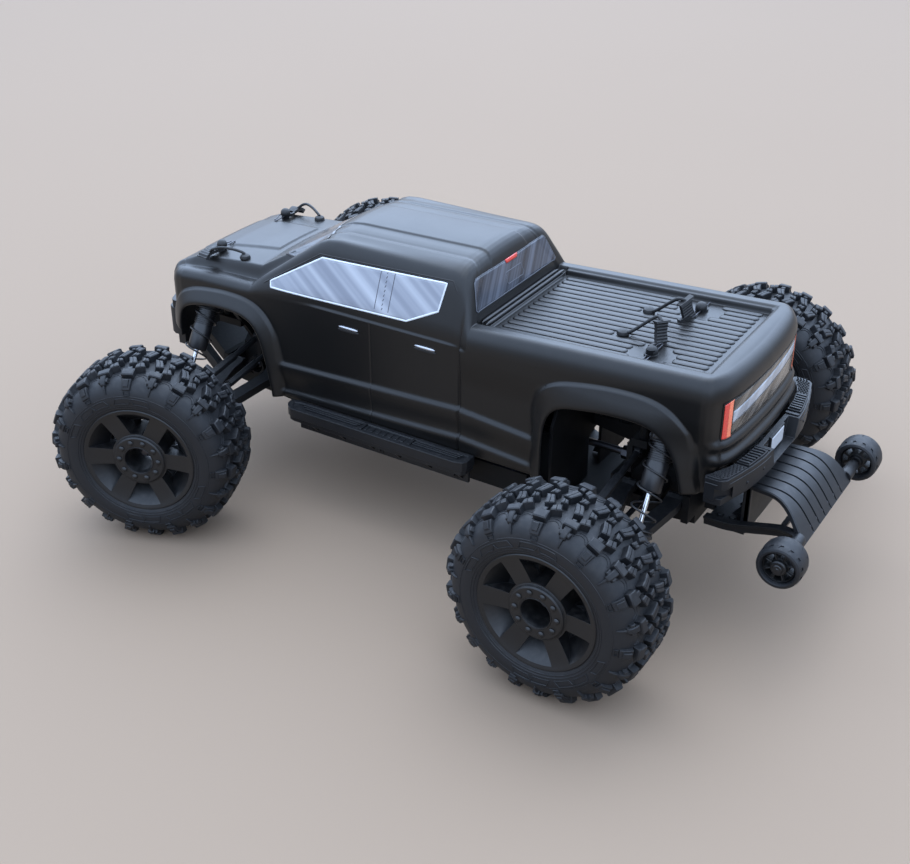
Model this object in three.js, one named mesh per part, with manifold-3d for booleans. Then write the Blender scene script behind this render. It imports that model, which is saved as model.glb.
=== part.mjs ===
// Radio-controlled monster truck: crew-cab pickup body on a four-wheel-drive chassis.
// Millimetres. +X is the front bumper, +Y the truck's left side, +Z up, wheels on z = 0.
import * as THREE from "three";
import { mergeVertices } from "three/addons/utils/BufferGeometryUtils.js";
import Module from "manifold-3d";

const wasm = await Module();
wasm.setup();

// ---- Driving dimensions ----
const WHEELBASE = 390;
const TRACK_HALF = 192; // truck centre line to the middle of a tyre
const TYRE_RADIUS = 77.5;
const TYRE_HALF_WIDTH = 34;
const TYRE_WALL = 4.5;
const WHEEL_SEGMENTS = 20; // one flat of the tyre rests on the ground
const RIM_RADIUS = 45.5;
const KINGPIN_INSET = 38; // from the middle of a tyre in to the kingpin
const STEER_AT_REST = THREE.MathUtils.degToRad(22); // the front wheels stand turned to the left
const REAR_END = -333; // back of the wheelie-bar wheels
const FRONT_END = 290.8; // front of the right front tyre, turned to the left
const BUMPER_END = 286;

// Suspension, in the plane across the truck: y outboard, z up
const ARM_INNER = { y: 40, z: 76 };
const ARM_OUTER = { y: 146, z: 60 };
const LINK_RISE = 36; // the upper link runs parallel to the arm, this much higher
const LINK_SHIFT = 6; // and this much further out
const LINK_X = -10.6;
const SHOCK_TOP = { x: 20, y: 62, z: 160 };
const SHOCK_SEAT = { along: 78, above: 5 }; // lower eye, on the arm
const SHAFT_INNER_Y = 34;
const SHAFT_OUTER_Y = 152;
const TIE_ROD_X = -24.1;
const STEERING_ARM = 26;

// Body shell
const WALL = 2.2;
const BODY_HALF = 79;
const FLARE_HALF = 84;
const ROOF_Z = 236.5;
const RAIL_Z = 192.5; // bed rail at the cab
const BED_RISE = 0.05; // the bed climbs this much towards the tail
const PANEL_DROP = 6; // from the rail down to the bed panel
const BED_FRONT = -44;
const SILL_Z = 84;
const POST_HOLE = 6;
const FRONT_POST = { x: 219, y: 44, top: 193 };
const REAR_POST = { x: -188, y: 46, top: 199 };

// Drive line
const MODULE = 0.87;
const SPUR_TEETH = 46;
const PINION_TEETH = 16;
const AXLE_Z = TYRE_RADIUS;
const SIDES = [["left", 1], ["right", -1]];
const KINGPIN_Y = TRACK_HALF - KINGPIN_INSET;
const ARM_LENGTH = Math.hypot(ARM_OUTER.y - ARM_INNER.y, ARM_OUTER.z - ARM_INNER.z);
const ARM_ANGLE = Math.atan2(ARM_OUTER.z - ARM_INNER.z, ARM_OUTER.y - ARM_INNER.y);

// ---- Materials ----
const finish = (color, roughness, metalness = 0) =>
  new THREE.MeshStandardMaterial({ color, roughness, metalness });
const GRAPHITE = finish(0x26262a, 0.5, 0.25);
const RUBBER = finish(0x17181a, 0.85);
const RIM_PLASTIC = finish(0x141517, 0.6);
const MOULDED = finish(0x1b1c1f, 0.65);
const SHOCK_BLACK = finish(0x111214, 0.4, 0.6);
const STEEL = finish(0xb9bcc0, 0.25, 1);
const DARK_STEEL = finish(0x3a3b3e, 0.4, 1);
const ALLOY = finish(0x2a2b2e, 0.4, 0.9);
const WRAP = finish(0x22304a, 0.45);

// ---- Solids ----
function rawSolid(geometry, flipped) {
  const bare = geometry.index ? geometry.toNonIndexed() : geometry.clone();
  bare.deleteAttribute("normal");
  bare.deleteAttribute("uv");
  const merged = mergeVertices(bare, 1e-4);
  const triVerts = new Uint32Array(merged.index.array);
  if (flipped) triVerts.reverse();
  const vertProperties = new Float32Array(merged.attributes.position.array);
  return new wasm.Manifold(new wasm.Mesh({ numProp: 3, vertProperties, triVerts }));
}

// A closed geometry as a solid, with its faces turned outwards.
function solid(geometry) {
  const made = rawSolid(geometry, false);
  return made.volume() < 0 ? rawSolid(geometry, true) : made;
}

const join = (...parts) => parts.reduce((whole, part) => whole.add(part));
const cut = (whole, ...tools) => tools.reduce((rest, tool) => rest.subtract(tool), whole);
const common = (...parts) => parts.reduce((whole, part) => whole.intersect(part));

function geometryOf(made) {
  const mesh = made.getMesh();
  const geometry = new THREE.BufferGeometry();
  const position = new THREE.BufferAttribute(new Float32Array(mesh.vertProperties), 3);
  geometry.setAttribute("position", position);
  geometry.setIndex(new THREE.BufferAttribute(new Uint32Array(mesh.triVerts), 1));
  geometry.computeVertexNormals();
  return geometry;
}

function box(x0, x1, y0, y1, z0, z1) {
  const geometry = new THREE.BoxGeometry(x1 - x0, y1 - y0, z1 - z0);
  geometry.translate((x0 + x1) / 2, (y0 + y1) / 2, (z0 + z1) / 2);
  return solid(geometry);
}

function rod(from, to, radius, sides = 8) {
  const start = new THREE.Vector3(...from);
  const span = new THREE.Vector3(...to).sub(start);
  const geometry = new THREE.CylinderGeometry(radius, radius, span.length(), sides);
  geometry.translate(0, span.length() / 2, 0);
  const turn = new THREE.Quaternion().setFromUnitVectors(
    new THREE.Vector3(0, 1, 0),
    span.normalize(),
  );
  geometry.applyQuaternion(turn);
  geometry.translate(start.x, start.y, start.z);
  return solid(geometry);
}

const ball = (x, y, z, radius) => solid(new THREE.SphereGeometry(radius, 8, 4).translate(x, y, z));

// A flat outline pushed along one axis: (y, z) along x, (x, z) along y, (x, y) along z.
function prism(outline, axis, from, to) {
  const shape = new THREE.Shape(outline.map(([u, v]) => new THREE.Vector2(u, v)));
  const geometry = new THREE.ExtrudeGeometry(shape, { depth: to - from, bevelEnabled: false });
  if (axis === "x") {
    const turn = new THREE.Matrix4().set(0, 0, 1, 0, 1, 0, 0, 0, 0, 1, 0, 0, 0, 0, 0, 1);
    geometry.applyMatrix4(turn).translate(from, 0, 0);
  } else if (axis === "y") {
    geometry.rotateX(Math.PI / 2).translate(0, to, 0);
  } else {
    geometry.translate(0, 0, from);
  }
  return solid(geometry);
}

// A profile of [radius, distance along y] turned about the y axis.
function turned(profile, segments = 10) {
  const closed = [...profile, profile[0]].map(([r, along]) => new THREE.Vector2(r, along));
  const halfStep = Math.PI / segments;
  return solid(new THREE.LatheGeometry(closed, segments, halfStep, 2 * Math.PI));
}

// The same outline on both sides of the centre line, from the points of one side.
const mirrored = (half) => [...half, ...half.map(([u, v]) => [-u, v]).reverse()];

function polar(radius, degrees) {
  const angle = THREE.MathUtils.degToRad(degrees);
  return [radius * Math.cos(angle), radius * Math.sin(angle)];
}

function arc(radius, fromDegrees, toDegrees, steps) {
  const turn = (toDegrees - fromDegrees) / steps;
  return Array.from({ length: steps + 1 }, (_, i) => polar(radius, fromDegrees + i * turn));
}

function piece(name, made, material, parent) {
  const mesh = new THREE.Mesh(geometryOf(made), material);
  mesh.name = name;
  parent.add(mesh);
  return mesh;
}

function group(parent, x, y, z, turnX = 0, turnZ = 0) {
  const made = new THREE.Group();
  made.position.set(x, y, z);
  made.rotation.set(turnX, 0, turnZ);
  parent.add(made);
  return made;
}

// ---- Wheels: y is the axle, outboard positive, 0 in the middle of the tyre ----
function tyreSolid() {
  const crown = TYRE_RADIUS / Math.cos(Math.PI / WHEEL_SEGMENTS);
  const side = TYRE_HALF_WIDTH;
  const outer = [
    [RIM_RADIUS + 1, -side + 3],
    [54, -side],
    [crown - 9, -side + 1],
    [crown, -side + 8],
    [crown, side - 8],
    [crown - 9, side - 1],
    [54, side],
    [RIM_RADIUS + 1, side - 3],
  ];
  const inner = [
    [RIM_RADIUS + 1, side - 3 - TYRE_WALL],
    [crown - 12, side - 1 - TYRE_WALL],
    [crown - TYRE_WALL - 1.5, side - 12],
    [crown - TYRE_WALL - 1.5, -side + 12],
    [crown - 12, -side + 1 + TYRE_WALL],
    [RIM_RADIUS + 1, -side + 3 + TYRE_WALL],
  ];
  return turned([...outer, ...inner], WHEEL_SEGMENTS);
}

function rimSolid() {
  const barrelInside = RIM_RADIUS - 3;
  const hubRing = 22.4;
  const face = turned(
    [
      [RIM_RADIUS, -33],
      [RIM_RADIUS, 34.8],
      [RIM_RADIUS - 2.5, 34.8],
      [41, 27],
      [hubRing, 20],
      [hubRing, 29],
      [9, 29],
      [9, 9],
      [16, 9],
      [barrelInside, 17],
      [barrelInside, -33],
    ],
    WHEEL_SEGMENTS,
  );
  // Stub axle, with the drive cup at the kingpin
  const stub = turned([
    [0, -33.4],
    [7.5, -33.4],
    [7.5, -45],
    [9, -45],
    [9, -31.5],
    [4, -31.5],
    [4, 4],
    [16, 4],
    [16, 10],
    [0, 10],
  ]);
  const windows = Array.from({ length: 6 }, (_, i) => {
    const middle = 90 + 60 * i;
    const outline = [
      ...arc(39.5, middle - 19, middle + 19, 2),
      ...arc(26.5, middle + 16, middle - 16, 1),
    ];
    return prism(outline, "y", 8, 32);
  });
  return cut(join(face, stub), ...windows);
}

// ---- Suspension, built for the front left corner: x towards the bumper ----
// Arm frame: y along the arm from the inner pin, z across its thickness.
function lowerArmSolid() {
  const half = 3.5;
  const plan = mirrored([
    [12.5, ARM_LENGTH],
    [13, 90],
    [15.5, 80],
    [16, 62],
    [26.5, 12],
    [26.5, 0],
  ]);
  const plate = prism(plan, "z", -half, half);
  const innerBarrel = rod([-26.5, 0, 0], [26.5, 0, 0], 5);
  const outerBarrel = rod([-12.5, ARM_LENGTH, 0], [12.5, ARM_LENGTH, 0], 5);
  const shockStud = rod(
    [12, SHOCK_SEAT.along, SHOCK_SEAT.above],
    [24, SHOCK_SEAT.along, SHOCK_SEAT.above],
    1.9,
  );
  const studFoot = box(11, 15.5, SHOCK_SEAT.along - 6, SHOCK_SEAT.along + 6, 0, 8.5);
  const shaftSlot = prism(
    mirrored([
      [6.5, 46],
      [13.5, 14],
      [13.5, -10],
    ]),
    "z",
    -10,
    10,
  );
  const shaftWindow = prism(mirrored([[5, 70], [6.5, 52]]), "z", -10, 10);
  const fork = box(-7.8, 7.8, 90, ARM_LENGTH + 10, -10, 10);
  const bores = [0, ARM_LENGTH].map((along) => rod([-30, along, 0], [30, along, 0], 2.6));
  const whole = join(plate, innerBarrel, outerBarrel, shockStud, studFoot);
  return cut(whole, shaftSlot, shaftWindow, fork, ...bores);
}

function upperLinkSolid() {
  const eyes = [0, ARM_LENGTH].map((y) => rod([-2.4, y, 0], [2.4, y, 0], 5));
  const bores = [0, ARM_LENGTH].map((y) => rod([-5, y, 0], [5, y, 0], 2.4));
  const bar = rod([0, 3, 0], [0, ARM_LENGTH - 3, 0], 2.6);
  const turnbuckle = rod([0, 34, 0], [0, 74, 0], 3.6, 6);
  return cut(join(...eyes, bar, turnbuckle), ...bores);
}

// The C-shaped carrier between the arm and the upper link, in corner coordinates.
function carrierBody() {
  const lug = box(-7.3, 7.3, 140.5, 160, 55, 63.4);
  const foot = box(-7.3, 7.3, 134, 141, 55, 70);
  const web = box(-12.8, 12.8, 134, 139, 68, 87.5);
  const neck = box(-7.3, 7.3, 134, 139, 86, 99);
  const top = box(-7.3, 7.3, 134, 160, 90.9, 99);
  const linkY = ARM_OUTER.y + LINK_SHIFT;
  const linkZ = ARM_OUTER.z + LINK_RISE;
  const linkStud = rod([-5, linkY, linkZ], [LINK_X - 3.2, linkY, linkZ], 1.8);
  const armPin = rod([-12.3, ARM_OUTER.y, ARM_OUTER.z], [12.3, ARM_OUTER.y, ARM_OUTER.z], 2);
  const shaftHole = rod([0, 130, AXLE_Z], [0, 143, AXLE_Z], 10);
  return cut(join(lug, foot, web, neck, top, linkStud, armPin), shaftHole);
}

// Bearing housing round the axle, y from the kingpin.
const bearingHousing = () =>
  turned([
    [9.8, -7],
    [12.5, -7],
    [12.5, 12],
    [8, 12],
    [8, 24],
    [4.7, 24],
    [4.7, 7.2],
    [9.8, 7.2],
  ]);

function casterBlockSolid() {
  return cut(carrierBody(), rod([0, KINGPIN_Y, 50], [0, KINGPIN_Y, 105], 3.3));
}

function hubCarrierSolid() {
  const housing = bearingHousing().translate(0, KINGPIN_Y, AXLE_Z);
  const bridges = [
    box(-7.3, 7.3, 147.5, 160, 63, 67),
    box(-7.3, 7.3, 147.5, 160, 88, 91.5),
  ];
  return join(carrierBody(), housing, ...bridges);
}

// Knuckle frame: origin on the kingpin at axle height, wheel straight ahead.
function knuckleSolid() {
  const pins = [rod([0, 0, 11.5], [0, 0, 20.5], 2.5), rod([0, 0, -19], [0, 0, -11.5], 2.5)];
  const arm = box(-STEERING_ARM - 4, -10.6, -4, 4, 0.5, 5);
  const ballStud = rod([-STEERING_ARM, 0, 4], [-STEERING_ARM, 0, 15.5], 1.6);
  return join(bearingHousing(), ...pins, arm, ballStud);
}

function halfshaftSolid() {
  return join(
    ball(0, SHAFT_INNER_Y, AXLE_Z, 4.5),
    rod([0, SHAFT_INNER_Y, AXLE_Z], [0, SHAFT_OUTER_Y, AXLE_Z], 2.2),
    ball(0, SHAFT_OUTER_Y, AXLE_Z, 3.6),
  );
}

// Shock frame: origin at the upper eye, z down the shock is negative.
function shockSizes() {
  const seat = new THREE.Vector2(SHOCK_SEAT.along, SHOCK_SEAT.above);
  seat.rotateAround(new THREE.Vector2(), ARM_ANGLE);
  const out = ARM_INNER.y + seat.x - SHOCK_TOP.y;
  const down = SHOCK_TOP.z - (ARM_INNER.z + seat.y);
  return { length: Math.hypot(out, down), lean: Math.atan2(out, down) };
}

function upright(profile, segments = 10) {
  return turned(profile, segments).rotate([90, 0, 0]);
}

function shockBodySolid() {
  const eye = cut(rod([-3.5, 0, 0], [3.5, 0, 0], 6), rod([-6, 0, 0], [6, 0, 0], 2.6));
  const tube = upright([
    [0, -5.2],
    [7, -5.2],
    [8.6, -8],
    [8.6, -20],
    [11.4, -21],
    [11.4, -26],
    [7.2, -26],
    [7.2, -64],
    [2.5, -64],
    [2.5, -18],
    [0, -18],
  ]);
  return join(eye, tube);
}

function shockShaftSolid(length) {
  const eye = rod([-3, 0, -length], [3, 0, -length], 5.5);
  const stem = upright([
    [0, 4 - length],
    [4, 4 - length],
    [4, 14 - length],
    [11, 15 - length],
    [11, 18.5 - length],
    [1.75, 18.5 - length],
    [1.75, -40],
    [0, -40],
  ]);
  return cut(join(eye, stem), rod([-6, 0, -length], [6, 0, -length], 3.4));
}

class CoilCurve extends THREE.Curve {
  constructor(radius, top, bottom, turns) {
    super();
    Object.assign(this, { radius, top, bottom, turns });
  }
  getPoint(t, target = new THREE.Vector3()) {
    const angle = t * this.turns * 2 * Math.PI;
    const z = this.top + (this.bottom - this.top) * t;
    return target.set(this.radius * Math.cos(angle), this.radius * Math.sin(angle), z);
  }
}

function springSolid(length) {
  const turns = 5;
  const coil = new CoilCurve(10, -27.4, 20 - length, turns);
  const wire = new THREE.Shape(arc(0.9, 0, 270, 3).map(([u, v]) => new THREE.Vector2(u, v)));
  const steps = turns * 6;
  const options = { steps, extrudePath: coil, bevelEnabled: false };
  return solid(new THREE.ExtrudeGeometry(wire, options));
}

// ---- Corner assemblies ----
function corner(parent, end, side) {
  const front = end === "front";
  const tag = `${end}_${side}`;
  const flipX = front ? 1 : -1;
  const flipY = side === "left" ? 1 : -1;
  const at = group(parent, (flipX * WHEELBASE) / 2, 0, 0);
  at.scale.set(flipX, flipY, 1);

  const arm = group(at, 0, ARM_INNER.y, ARM_INNER.z, ARM_ANGLE);
  piece(`lower_arm_${tag}`, lowerArmSolid(), MOULDED, arm);
  const link = group(at, LINK_X, ARM_INNER.y + LINK_SHIFT, ARM_INNER.z + LINK_RISE, ARM_ANGLE);
  piece(`upper_link_${tag}`, upperLinkSolid(), MOULDED, link);
  piece(`halfshaft_${tag}`, halfshaftSolid(), DARK_STEEL, at);

  const steer = front ? STEER_AT_REST * flipY : 0;
  const wheel = group(at, 0, KINGPIN_Y, AXLE_Z, 0, steer);
  if (front) {
    piece(`caster_block_${side}`, casterBlockSolid(), MOULDED, at);
    piece(`steering_knuckle_${side}`, knuckleSolid(), MOULDED, wheel);
  } else {
    piece(`hub_carrier_${side}`, hubCarrierSolid(), MOULDED, at);
  }
  const rolling = group(wheel, 0, KINGPIN_INSET, 0);
  piece(`tyre_${tag}`, tyreSolid(), RUBBER, rolling);
  piece(`rim_${tag}`, rimSolid(), RIM_PLASTIC, rolling);

  const { length, lean } = shockSizes();
  const shock = group(at, SHOCK_TOP.x, SHOCK_TOP.y, SHOCK_TOP.z, lean);
  piece(`shock_body_${tag}`, shockBodySolid(), SHOCK_BLACK, shock);
  piece(`shock_shaft_${tag}`, shockShaftSolid(length), STEEL, shock);
  piece(`spring_${tag}`, springSolid(length), SHOCK_BLACK, shock);
}

// ---- Gearbox with shock tower, arm pins and body posts, x towards the bumper ----
function bulkheadSolid(post) {
  const gearbox = prism(
    mirrored([
      [14, 101],
      [24, 90],
      [24, 60],
    ]),
    "x",
    -25,
    25,
  );
  const base = box(-33, 33, -30, 30, 52.3, 62);
  const pinBars = [box(-33, -27.3, -45, 45, 60, 84), box(27.3, 33, -45, 45, 60, 84)];
  const tower = prism(
    mirrored([
      [20, 134],
      [55, 167],
      [68, 167],
      [68, 152],
      [30, 96],
    ]),
    "x",
    3.5,
    8,
  );
  const bracket = box(-18, -13.4, -52, 52, 95, 120);
  const parts = [gearbox, base, ...pinBars, tower, bracket];
  for (const flip of [1, -1]) {
    for (const [from, to] of [[28, 14.2], [-28, -14.2]]) {
      const y = flip * ARM_INNER.y;
      parts.push(rod([from, y, ARM_INNER.z], [to, y, ARM_INNER.z], 2));
    }
    const linkY = flip * (ARM_INNER.y + LINK_SHIFT);
    const linkZ = ARM_INNER.z + LINK_RISE;
    parts.push(rod([-14, linkY, linkZ], [LINK_X + 3.2, linkY, linkZ], 1.8));
    const shockY = flip * SHOCK_TOP.y;
    parts.push(rod([4, shockY, SHOCK_TOP.z], [24.5, shockY, SHOCK_TOP.z], 2));
    const cup = turned([
      [0, 22],
      [9, 22],
      [9, 40],
      [6.8, 40],
      [6.8, 28.5],
      [0, 28.5],
    ]);
    const outdrive = flip > 0 ? cup : cup.mirror([0, 1, 0]);
    parts.push(outdrive.translate(0, 0, AXLE_Z));
    // A body post ahead of the tower stands on an arm of it, one behind it on the link bracket.
    const postY = flip * post.y;
    const footStart = post.x > 0 ? 5 : -15;
    parts.push(box(footStart, post.x + 5, postY - 6, postY + 6, 118.6, 125));
    parts.push(rod([post.x, postY, 120], [post.x, postY, post.top], 3.6, 10));
  }
  const inputShaftHole = rod([-40, 0, AXLE_Z], [-25.2, 0, AXLE_Z], 8);
  return cut(join(...parts), inputShaftHole);
}

function bulkheads(parent) {
  const front = group(parent, WHEELBASE / 2, 0, 0);
  const frontPost = { ...FRONT_POST, x: FRONT_POST.x - WHEELBASE / 2 };
  piece("front_bulkhead", bulkheadSolid(frontPost), MOULDED, front);
  const rear = group(parent, -WHEELBASE / 2, 0, 0, 0, Math.PI);
  const rearPost = { ...REAR_POST, x: -(REAR_POST.x + WHEELBASE / 2) };
  piece("rear_bulkhead", bulkheadSolid(rearPost), MOULDED, rear);
}

// ---- Steering ----
function steering(parent) {
  const at = group(parent, WHEELBASE / 2, 0, 0);
  const slide = -STEERING_ARM * Math.sin(STEER_AT_REST);
  const innerY = KINGPIN_Y - (ARM_OUTER.y - ARM_INNER.y);
  const outerZ = AXLE_Z + 10.5;
  const innerZ = outerZ - (ARM_OUTER.z - ARM_INNER.z);
  const bar = box(-33, -27.6, slide - innerY - 5, slide + innerY + 5, innerZ - 4.5, innerZ + 4.5);
  const studs = [-1, 1].map((flip) =>
    rod([-29, slide + flip * innerY, innerZ], [-21, slide + flip * innerY, innerZ], 1.8),
  );
  piece("steering_link", join(bar, ...studs), MOULDED, at);

  for (const [side, flip] of SIDES) {
    const rodGroup = group(at, TIE_ROD_X, slide + flip * innerY, innerZ, flip * ARM_ANGLE);
    const end = flip * ARM_LENGTH;
    const shank = rod([0, flip * 2, 0], [0, end - flip * 4, 0], 2);
    const sleeve = rod([0, flip * 30, 0], [0, flip * 66, 0], 3.2, 6);
    const innerEye = rod([-2.5, 0, 0], [2.5, 0, 0], 4.6);
    const outerEye = rod([0, end, -2.5], [0, end, 2.5], 6.8);
    const bores = [rod([-4, 0, 0], [4, 0, 0], 2.5), rod([0, end, -4], [0, end, 4], 4.6)];
    const tieRod = cut(join(shank, sleeve, innerEye, outerEye), ...bores);
    piece(`tie_rod_${side}`, tieRod, MOULDED, rodGroup);
  }

  const hornPlan = [[136, -30], [138, -34], [146, -34], [148, -30], [144, -8], [140, -8]];
  const servo = join(
    box(112, 152, -44, -16, 52.3, 90),
    box(105, 159, -44, -16, 76, 79),
    rod([142, -30, 88], [142, -30, 94], 6),
    prism(hornPlan, "z", 93, 96.5),
  );
  piece("steering_servo", servo, MOULDED, parent);
}

// ---- Drive line ----
function gearSolid(teeth, from, to, offset = 0) {
  const pitch = (MODULE * teeth) / 2;
  const step = 360 / teeth;
  const outline = [];
  for (let i = 0; i < teeth; i++) {
    const middle = i * step + offset;
    outline.push(polar(pitch - 1, middle - 0.24 * step));
    outline.push(polar(pitch + 0.6, middle - 0.1 * step));
    outline.push(polar(pitch + 0.6, middle + 0.1 * step));
    outline.push(polar(pitch - 1, middle + 0.24 * step));
  }
  return prism(outline, "x", from, to);
}

function driveLine(parent) {
  const centre = group(parent, 0, 0, AXLE_Z);
  const spur = join(gearSolid(SPUR_TEETH, -18, -12.5), rod([-21, 0, 0], [-9, 0, 0], 8));
  piece("spur_gear", spur, MOULDED, centre);

  // The motor lies beside the centre shaft, on the right and a little higher.
  const spacing = (MODULE * (SPUR_TEETH + PINION_TEETH)) / 2 + 0.35;
  const rise = Math.asin(6.5 / spacing);
  const motorAt = group(centre, 0, -spacing * Math.cos(rise), 6.5);
  const facing = THREE.MathUtils.radToDeg(-rise);
  const toothPhase = facing + 180 / PINION_TEETH + (SPUR_TEETH / PINION_TEETH) * (180 + facing);
  piece("motor_pinion", gearSolid(PINION_TEETH, -18, -12.5, toothPhase), STEEL, motorAt);
  const can = join(
    rod([-6, 0, 0], [50, 0, 0], 18, 14),
    rod([-11.5, 0, 0], [-5, 0, 0], 6),
    rod([49, 0, 0], [54, 0, 0], 6),
  );
  piece("motor", can, ALLOY, motorAt);

  const reach = WHEELBASE / 2 - 25.6;
  const frontShaft = join(
    rod([-8.6, 0, 0], [reach, 0, 0], 3, 10),
    rod([-8.6, 0, 0], [6, 0, 0], 6),
    rod([reach - 18, 0, 0], [reach - 6, 0, 0], 6),
  );
  const rearShaft = join(
    rod([-21.4, 0, 0], [-reach, 0, 0], 3, 10),
    rod([-21.4, 0, 0], [-34, 0, 0], 6),
    rod([-reach + 18, 0, 0], [-reach + 6, 0, 0], 6),
  );
  piece("front_driveshaft", frontShaft, ALLOY, centre);
  piece("rear_driveshaft", rearShaft, ALLOY, centre);
}

function electronics(parent) {
  const pack = join(box(-84, 60, 24, 57, 52.3, 96), box(60, 66, 34, 48, 66, 84));
  piece("battery", pack, WRAP, parent);
  const fins = Array.from({ length: 6 }, (_, i) => box(62 + 7 * i, 65 + 7 * i, -53, -23, 76, 86));
  piece("speed_controller", join(box(60, 101, -55, -21, 52.3, 77), ...fins), MOULDED, parent);
}

// ---- Chassis plate with its side guards and shaft bearings ----
function chassis(parent) {
  const plan = [
    [-226, -24], [-160, -30], [-108, -54], [-96, -60], [104, -60], [112, -54], [165, -31], [226, -24],
    [226, 24], [165, 31], [112, 54], [104, 60], [-96, 60], [-108, 54], [-160, 30], [-226, 24],
  ];
  const plate = prism(plan, "z", 48, 52);
  const guards = [-1, 1].map((flip) => {
    const wall = box(-96, 104, flip > 0 ? 57.4 : -60, flip > 0 ? 60 : -57.4, 50, 68);
    const notch = box(30, 52, flip > 0 ? 56 : -61, flip > 0 ? 61 : -56, 60, 70);
    return cut(wall, notch);
  });
  const bearing = (x) => {
    const stand = box(x, x + 7, -8, 8, 50, 88);
    return cut(stand, rod([x - 2, 0, AXLE_Z], [x + 9, 0, AXLE_Z], 4));
  };
  piece("chassis_plate", join(plate, ...guards, bearing(56), bearing(-60)), MOULDED, parent);
}

// ---- Bumpers, steps and wheelie bar ----
function frontBumper(parent) {
  const bar = prism(
    [
      [264.6, 130], [280, 124], [BUMPER_END, 116], [BUMPER_END, 92],
      [276, 84], [266, 84], [270, 96], [270, 116],
    ],
    "y",
    -56,
    56,
  );
  const skidSide = [[228.4, 48], [240, 48], [278, 84], [270, 90], [236, 56], [228.4, 56]];
  const strutSide = [[229, 60], [229, 52], [242, 52], [276, 86], [270, 92], [238, 60]];
  const skid = prism(skidSide, "y", -20, 20);
  const struts = [-34, 34].map((y) => prism(strutSide, "y", y - 4, y + 4));
  const crossbar = box(229, 237, -38, 38, 50, 59);
  piece("front_bumper", join(bar, skid, ...struts, crossbar), MOULDED, parent);
}

function rearBumper(parent) {
  const half = [
    [-267, 0], [-267, 30], [-265.6, 50], [-264, 63], [-261.5, 72], [-257, 80], [-254, 84.5],
    [-255, 89.5], [-266, 89.5], [-271.5, 86], [-276, 64], [-280, 46], [-281.5, 33], [-281.5, 0],
  ];
  const plan = [...half, ...half.map(([x, y]) => [x, -y]).reverse().slice(1, -1)];
  const beam = prism(plan, "z", 113, 136.5);
  const recess = box(-283, -275.5, -22, 22, 117, 138);
  const pockets = [-1, 1].map((flip) =>
    box(-278, -267, flip > 0 ? 68 : -82, flip > 0 ? 82 : -68, 112, 123),
  );
  const mounts = join(box(-264, -229.5, -22, 22, 98, 110), box(-273, -240, -22, 22, 106, 114));
  const hanger = box(-238, -229.5, -16, 16, 60, 100);
  piece("rear_bumper", join(cut(beam, recess, ...pockets), mounts, hanger), MOULDED, parent);
}

const WHEELIE = { x: -316, z: 81.5, trackHalf: 84.4, radius: 17, halfWidth: 10.3, plateHalf: 52 };

function wheelieBar(parent) {
  const sheet = [
    [-270, 104.6], [-292, 104.6], [-304, 101], [-312, 92], [-319, 80],
    [-316, 77], [-309, 88], [-301, 97], [-291, 101.2], [-270, 101.2],
  ];
  const { plateHalf } = WHEELIE;
  const flare = prism(
    [[-262, 38], [-296, 41], [-322, plateHalf], [-322, -plateHalf], [-296, -41], [-262, -38]],
    "z",
    70,
    110,
  );
  const plate = common(prism(sheet, "y", -60, 60), flare);
  const brace = prism(
    [[-239, 58], [-239, 63], [-300, 80], [-314, 84], [-314, 78], [-300, 75], [-262, 62]],
    "y",
    -38,
    38,
  );
  const braceSlot = box(-302, -250, -24, 24, 50, 90);
  const post = box(-270, -265.5, -30, 30, 58, 104);
  const foot = box(-268, -238.4, -30, 30, 56, 63.5);
  const tube = rod([WHEELIE.x, -62, WHEELIE.z], [WHEELIE.x, 62, WHEELIE.z], 5);
  const axle = rod([WHEELIE.x, -89, WHEELIE.z], [WHEELIE.x, 89, WHEELIE.z], 2.4, 10);
  piece("wheelie_bar", join(plate, cut(brace, braceSlot), post, foot, tube, axle), MOULDED, parent);

  for (const [side, flip] of SIDES) {
    const at = group(parent, WHEELIE.x, flip * WHEELIE.trackHalf, WHEELIE.z);
    at.scale.y = flip;
    const outer = WHEELIE.radius / Math.cos(Math.PI / 16);
    const wheel = turned(
      [
        [3, -8.5], [6, -4], [11, -4], [12.5, -WHEELIE.halfWidth],
        [outer - 2.5, -WHEELIE.halfWidth], [outer, -WHEELIE.halfWidth + 3],
        [outer, WHEELIE.halfWidth - 3], [outer - 2.5, WHEELIE.halfWidth],
        [12.5, WHEELIE.halfWidth], [11, 4], [6, 4], [3, 9],
      ],
      16,
    );
    piece(`wheelie_wheel_${side}`, wheel, RUBBER, at);
  }
}

function sideSteps(parent) {
  for (const [side, flip] of SIDES) {
    const at = group(parent, 0, 0, 0);
    at.scale.y = flip;
    const board = prism(
      [[-60, 81.6], [112, 81.6], [120, 84], [116, 94], [110, 97.5], [-52, 97.5], [-60, 94]],
      "z",
      73,
      86,
    );
    const hollow = box(-50, 106, 84, 95, 70, 82);
    const skirt = box(-56, 112, 80.6, 83.6, 60, 80);
    const arms = [-46, 26, 96].map((x) => box(x, x + 9, 60.4, 84, 61, 67));
    piece(`side_step_${side}`, join(cut(board, hollow), skirt, ...arms), MOULDED, at);
  }
}

// ---- Body shell ----
const FRONT_ARCH = [
  [136, 60], [136, 88], [139, 112], [148, 136], [160, 151], [174, 159.5], [192, 162.5],
  [212, 162], [228, 158], [240, 150], [250, 140], [290, 128], [290, 60],
];
const REAR_ARCH = [
  [-114, 60], [-115, 88], [-119, 118], [-127, 143], [-139, 159], [-154, 168.5], [-174, 172],
  [-197, 171], [-216, 163], [-229, 148], [-237, 128], [-240, 108], [-240, 60],
];

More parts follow.
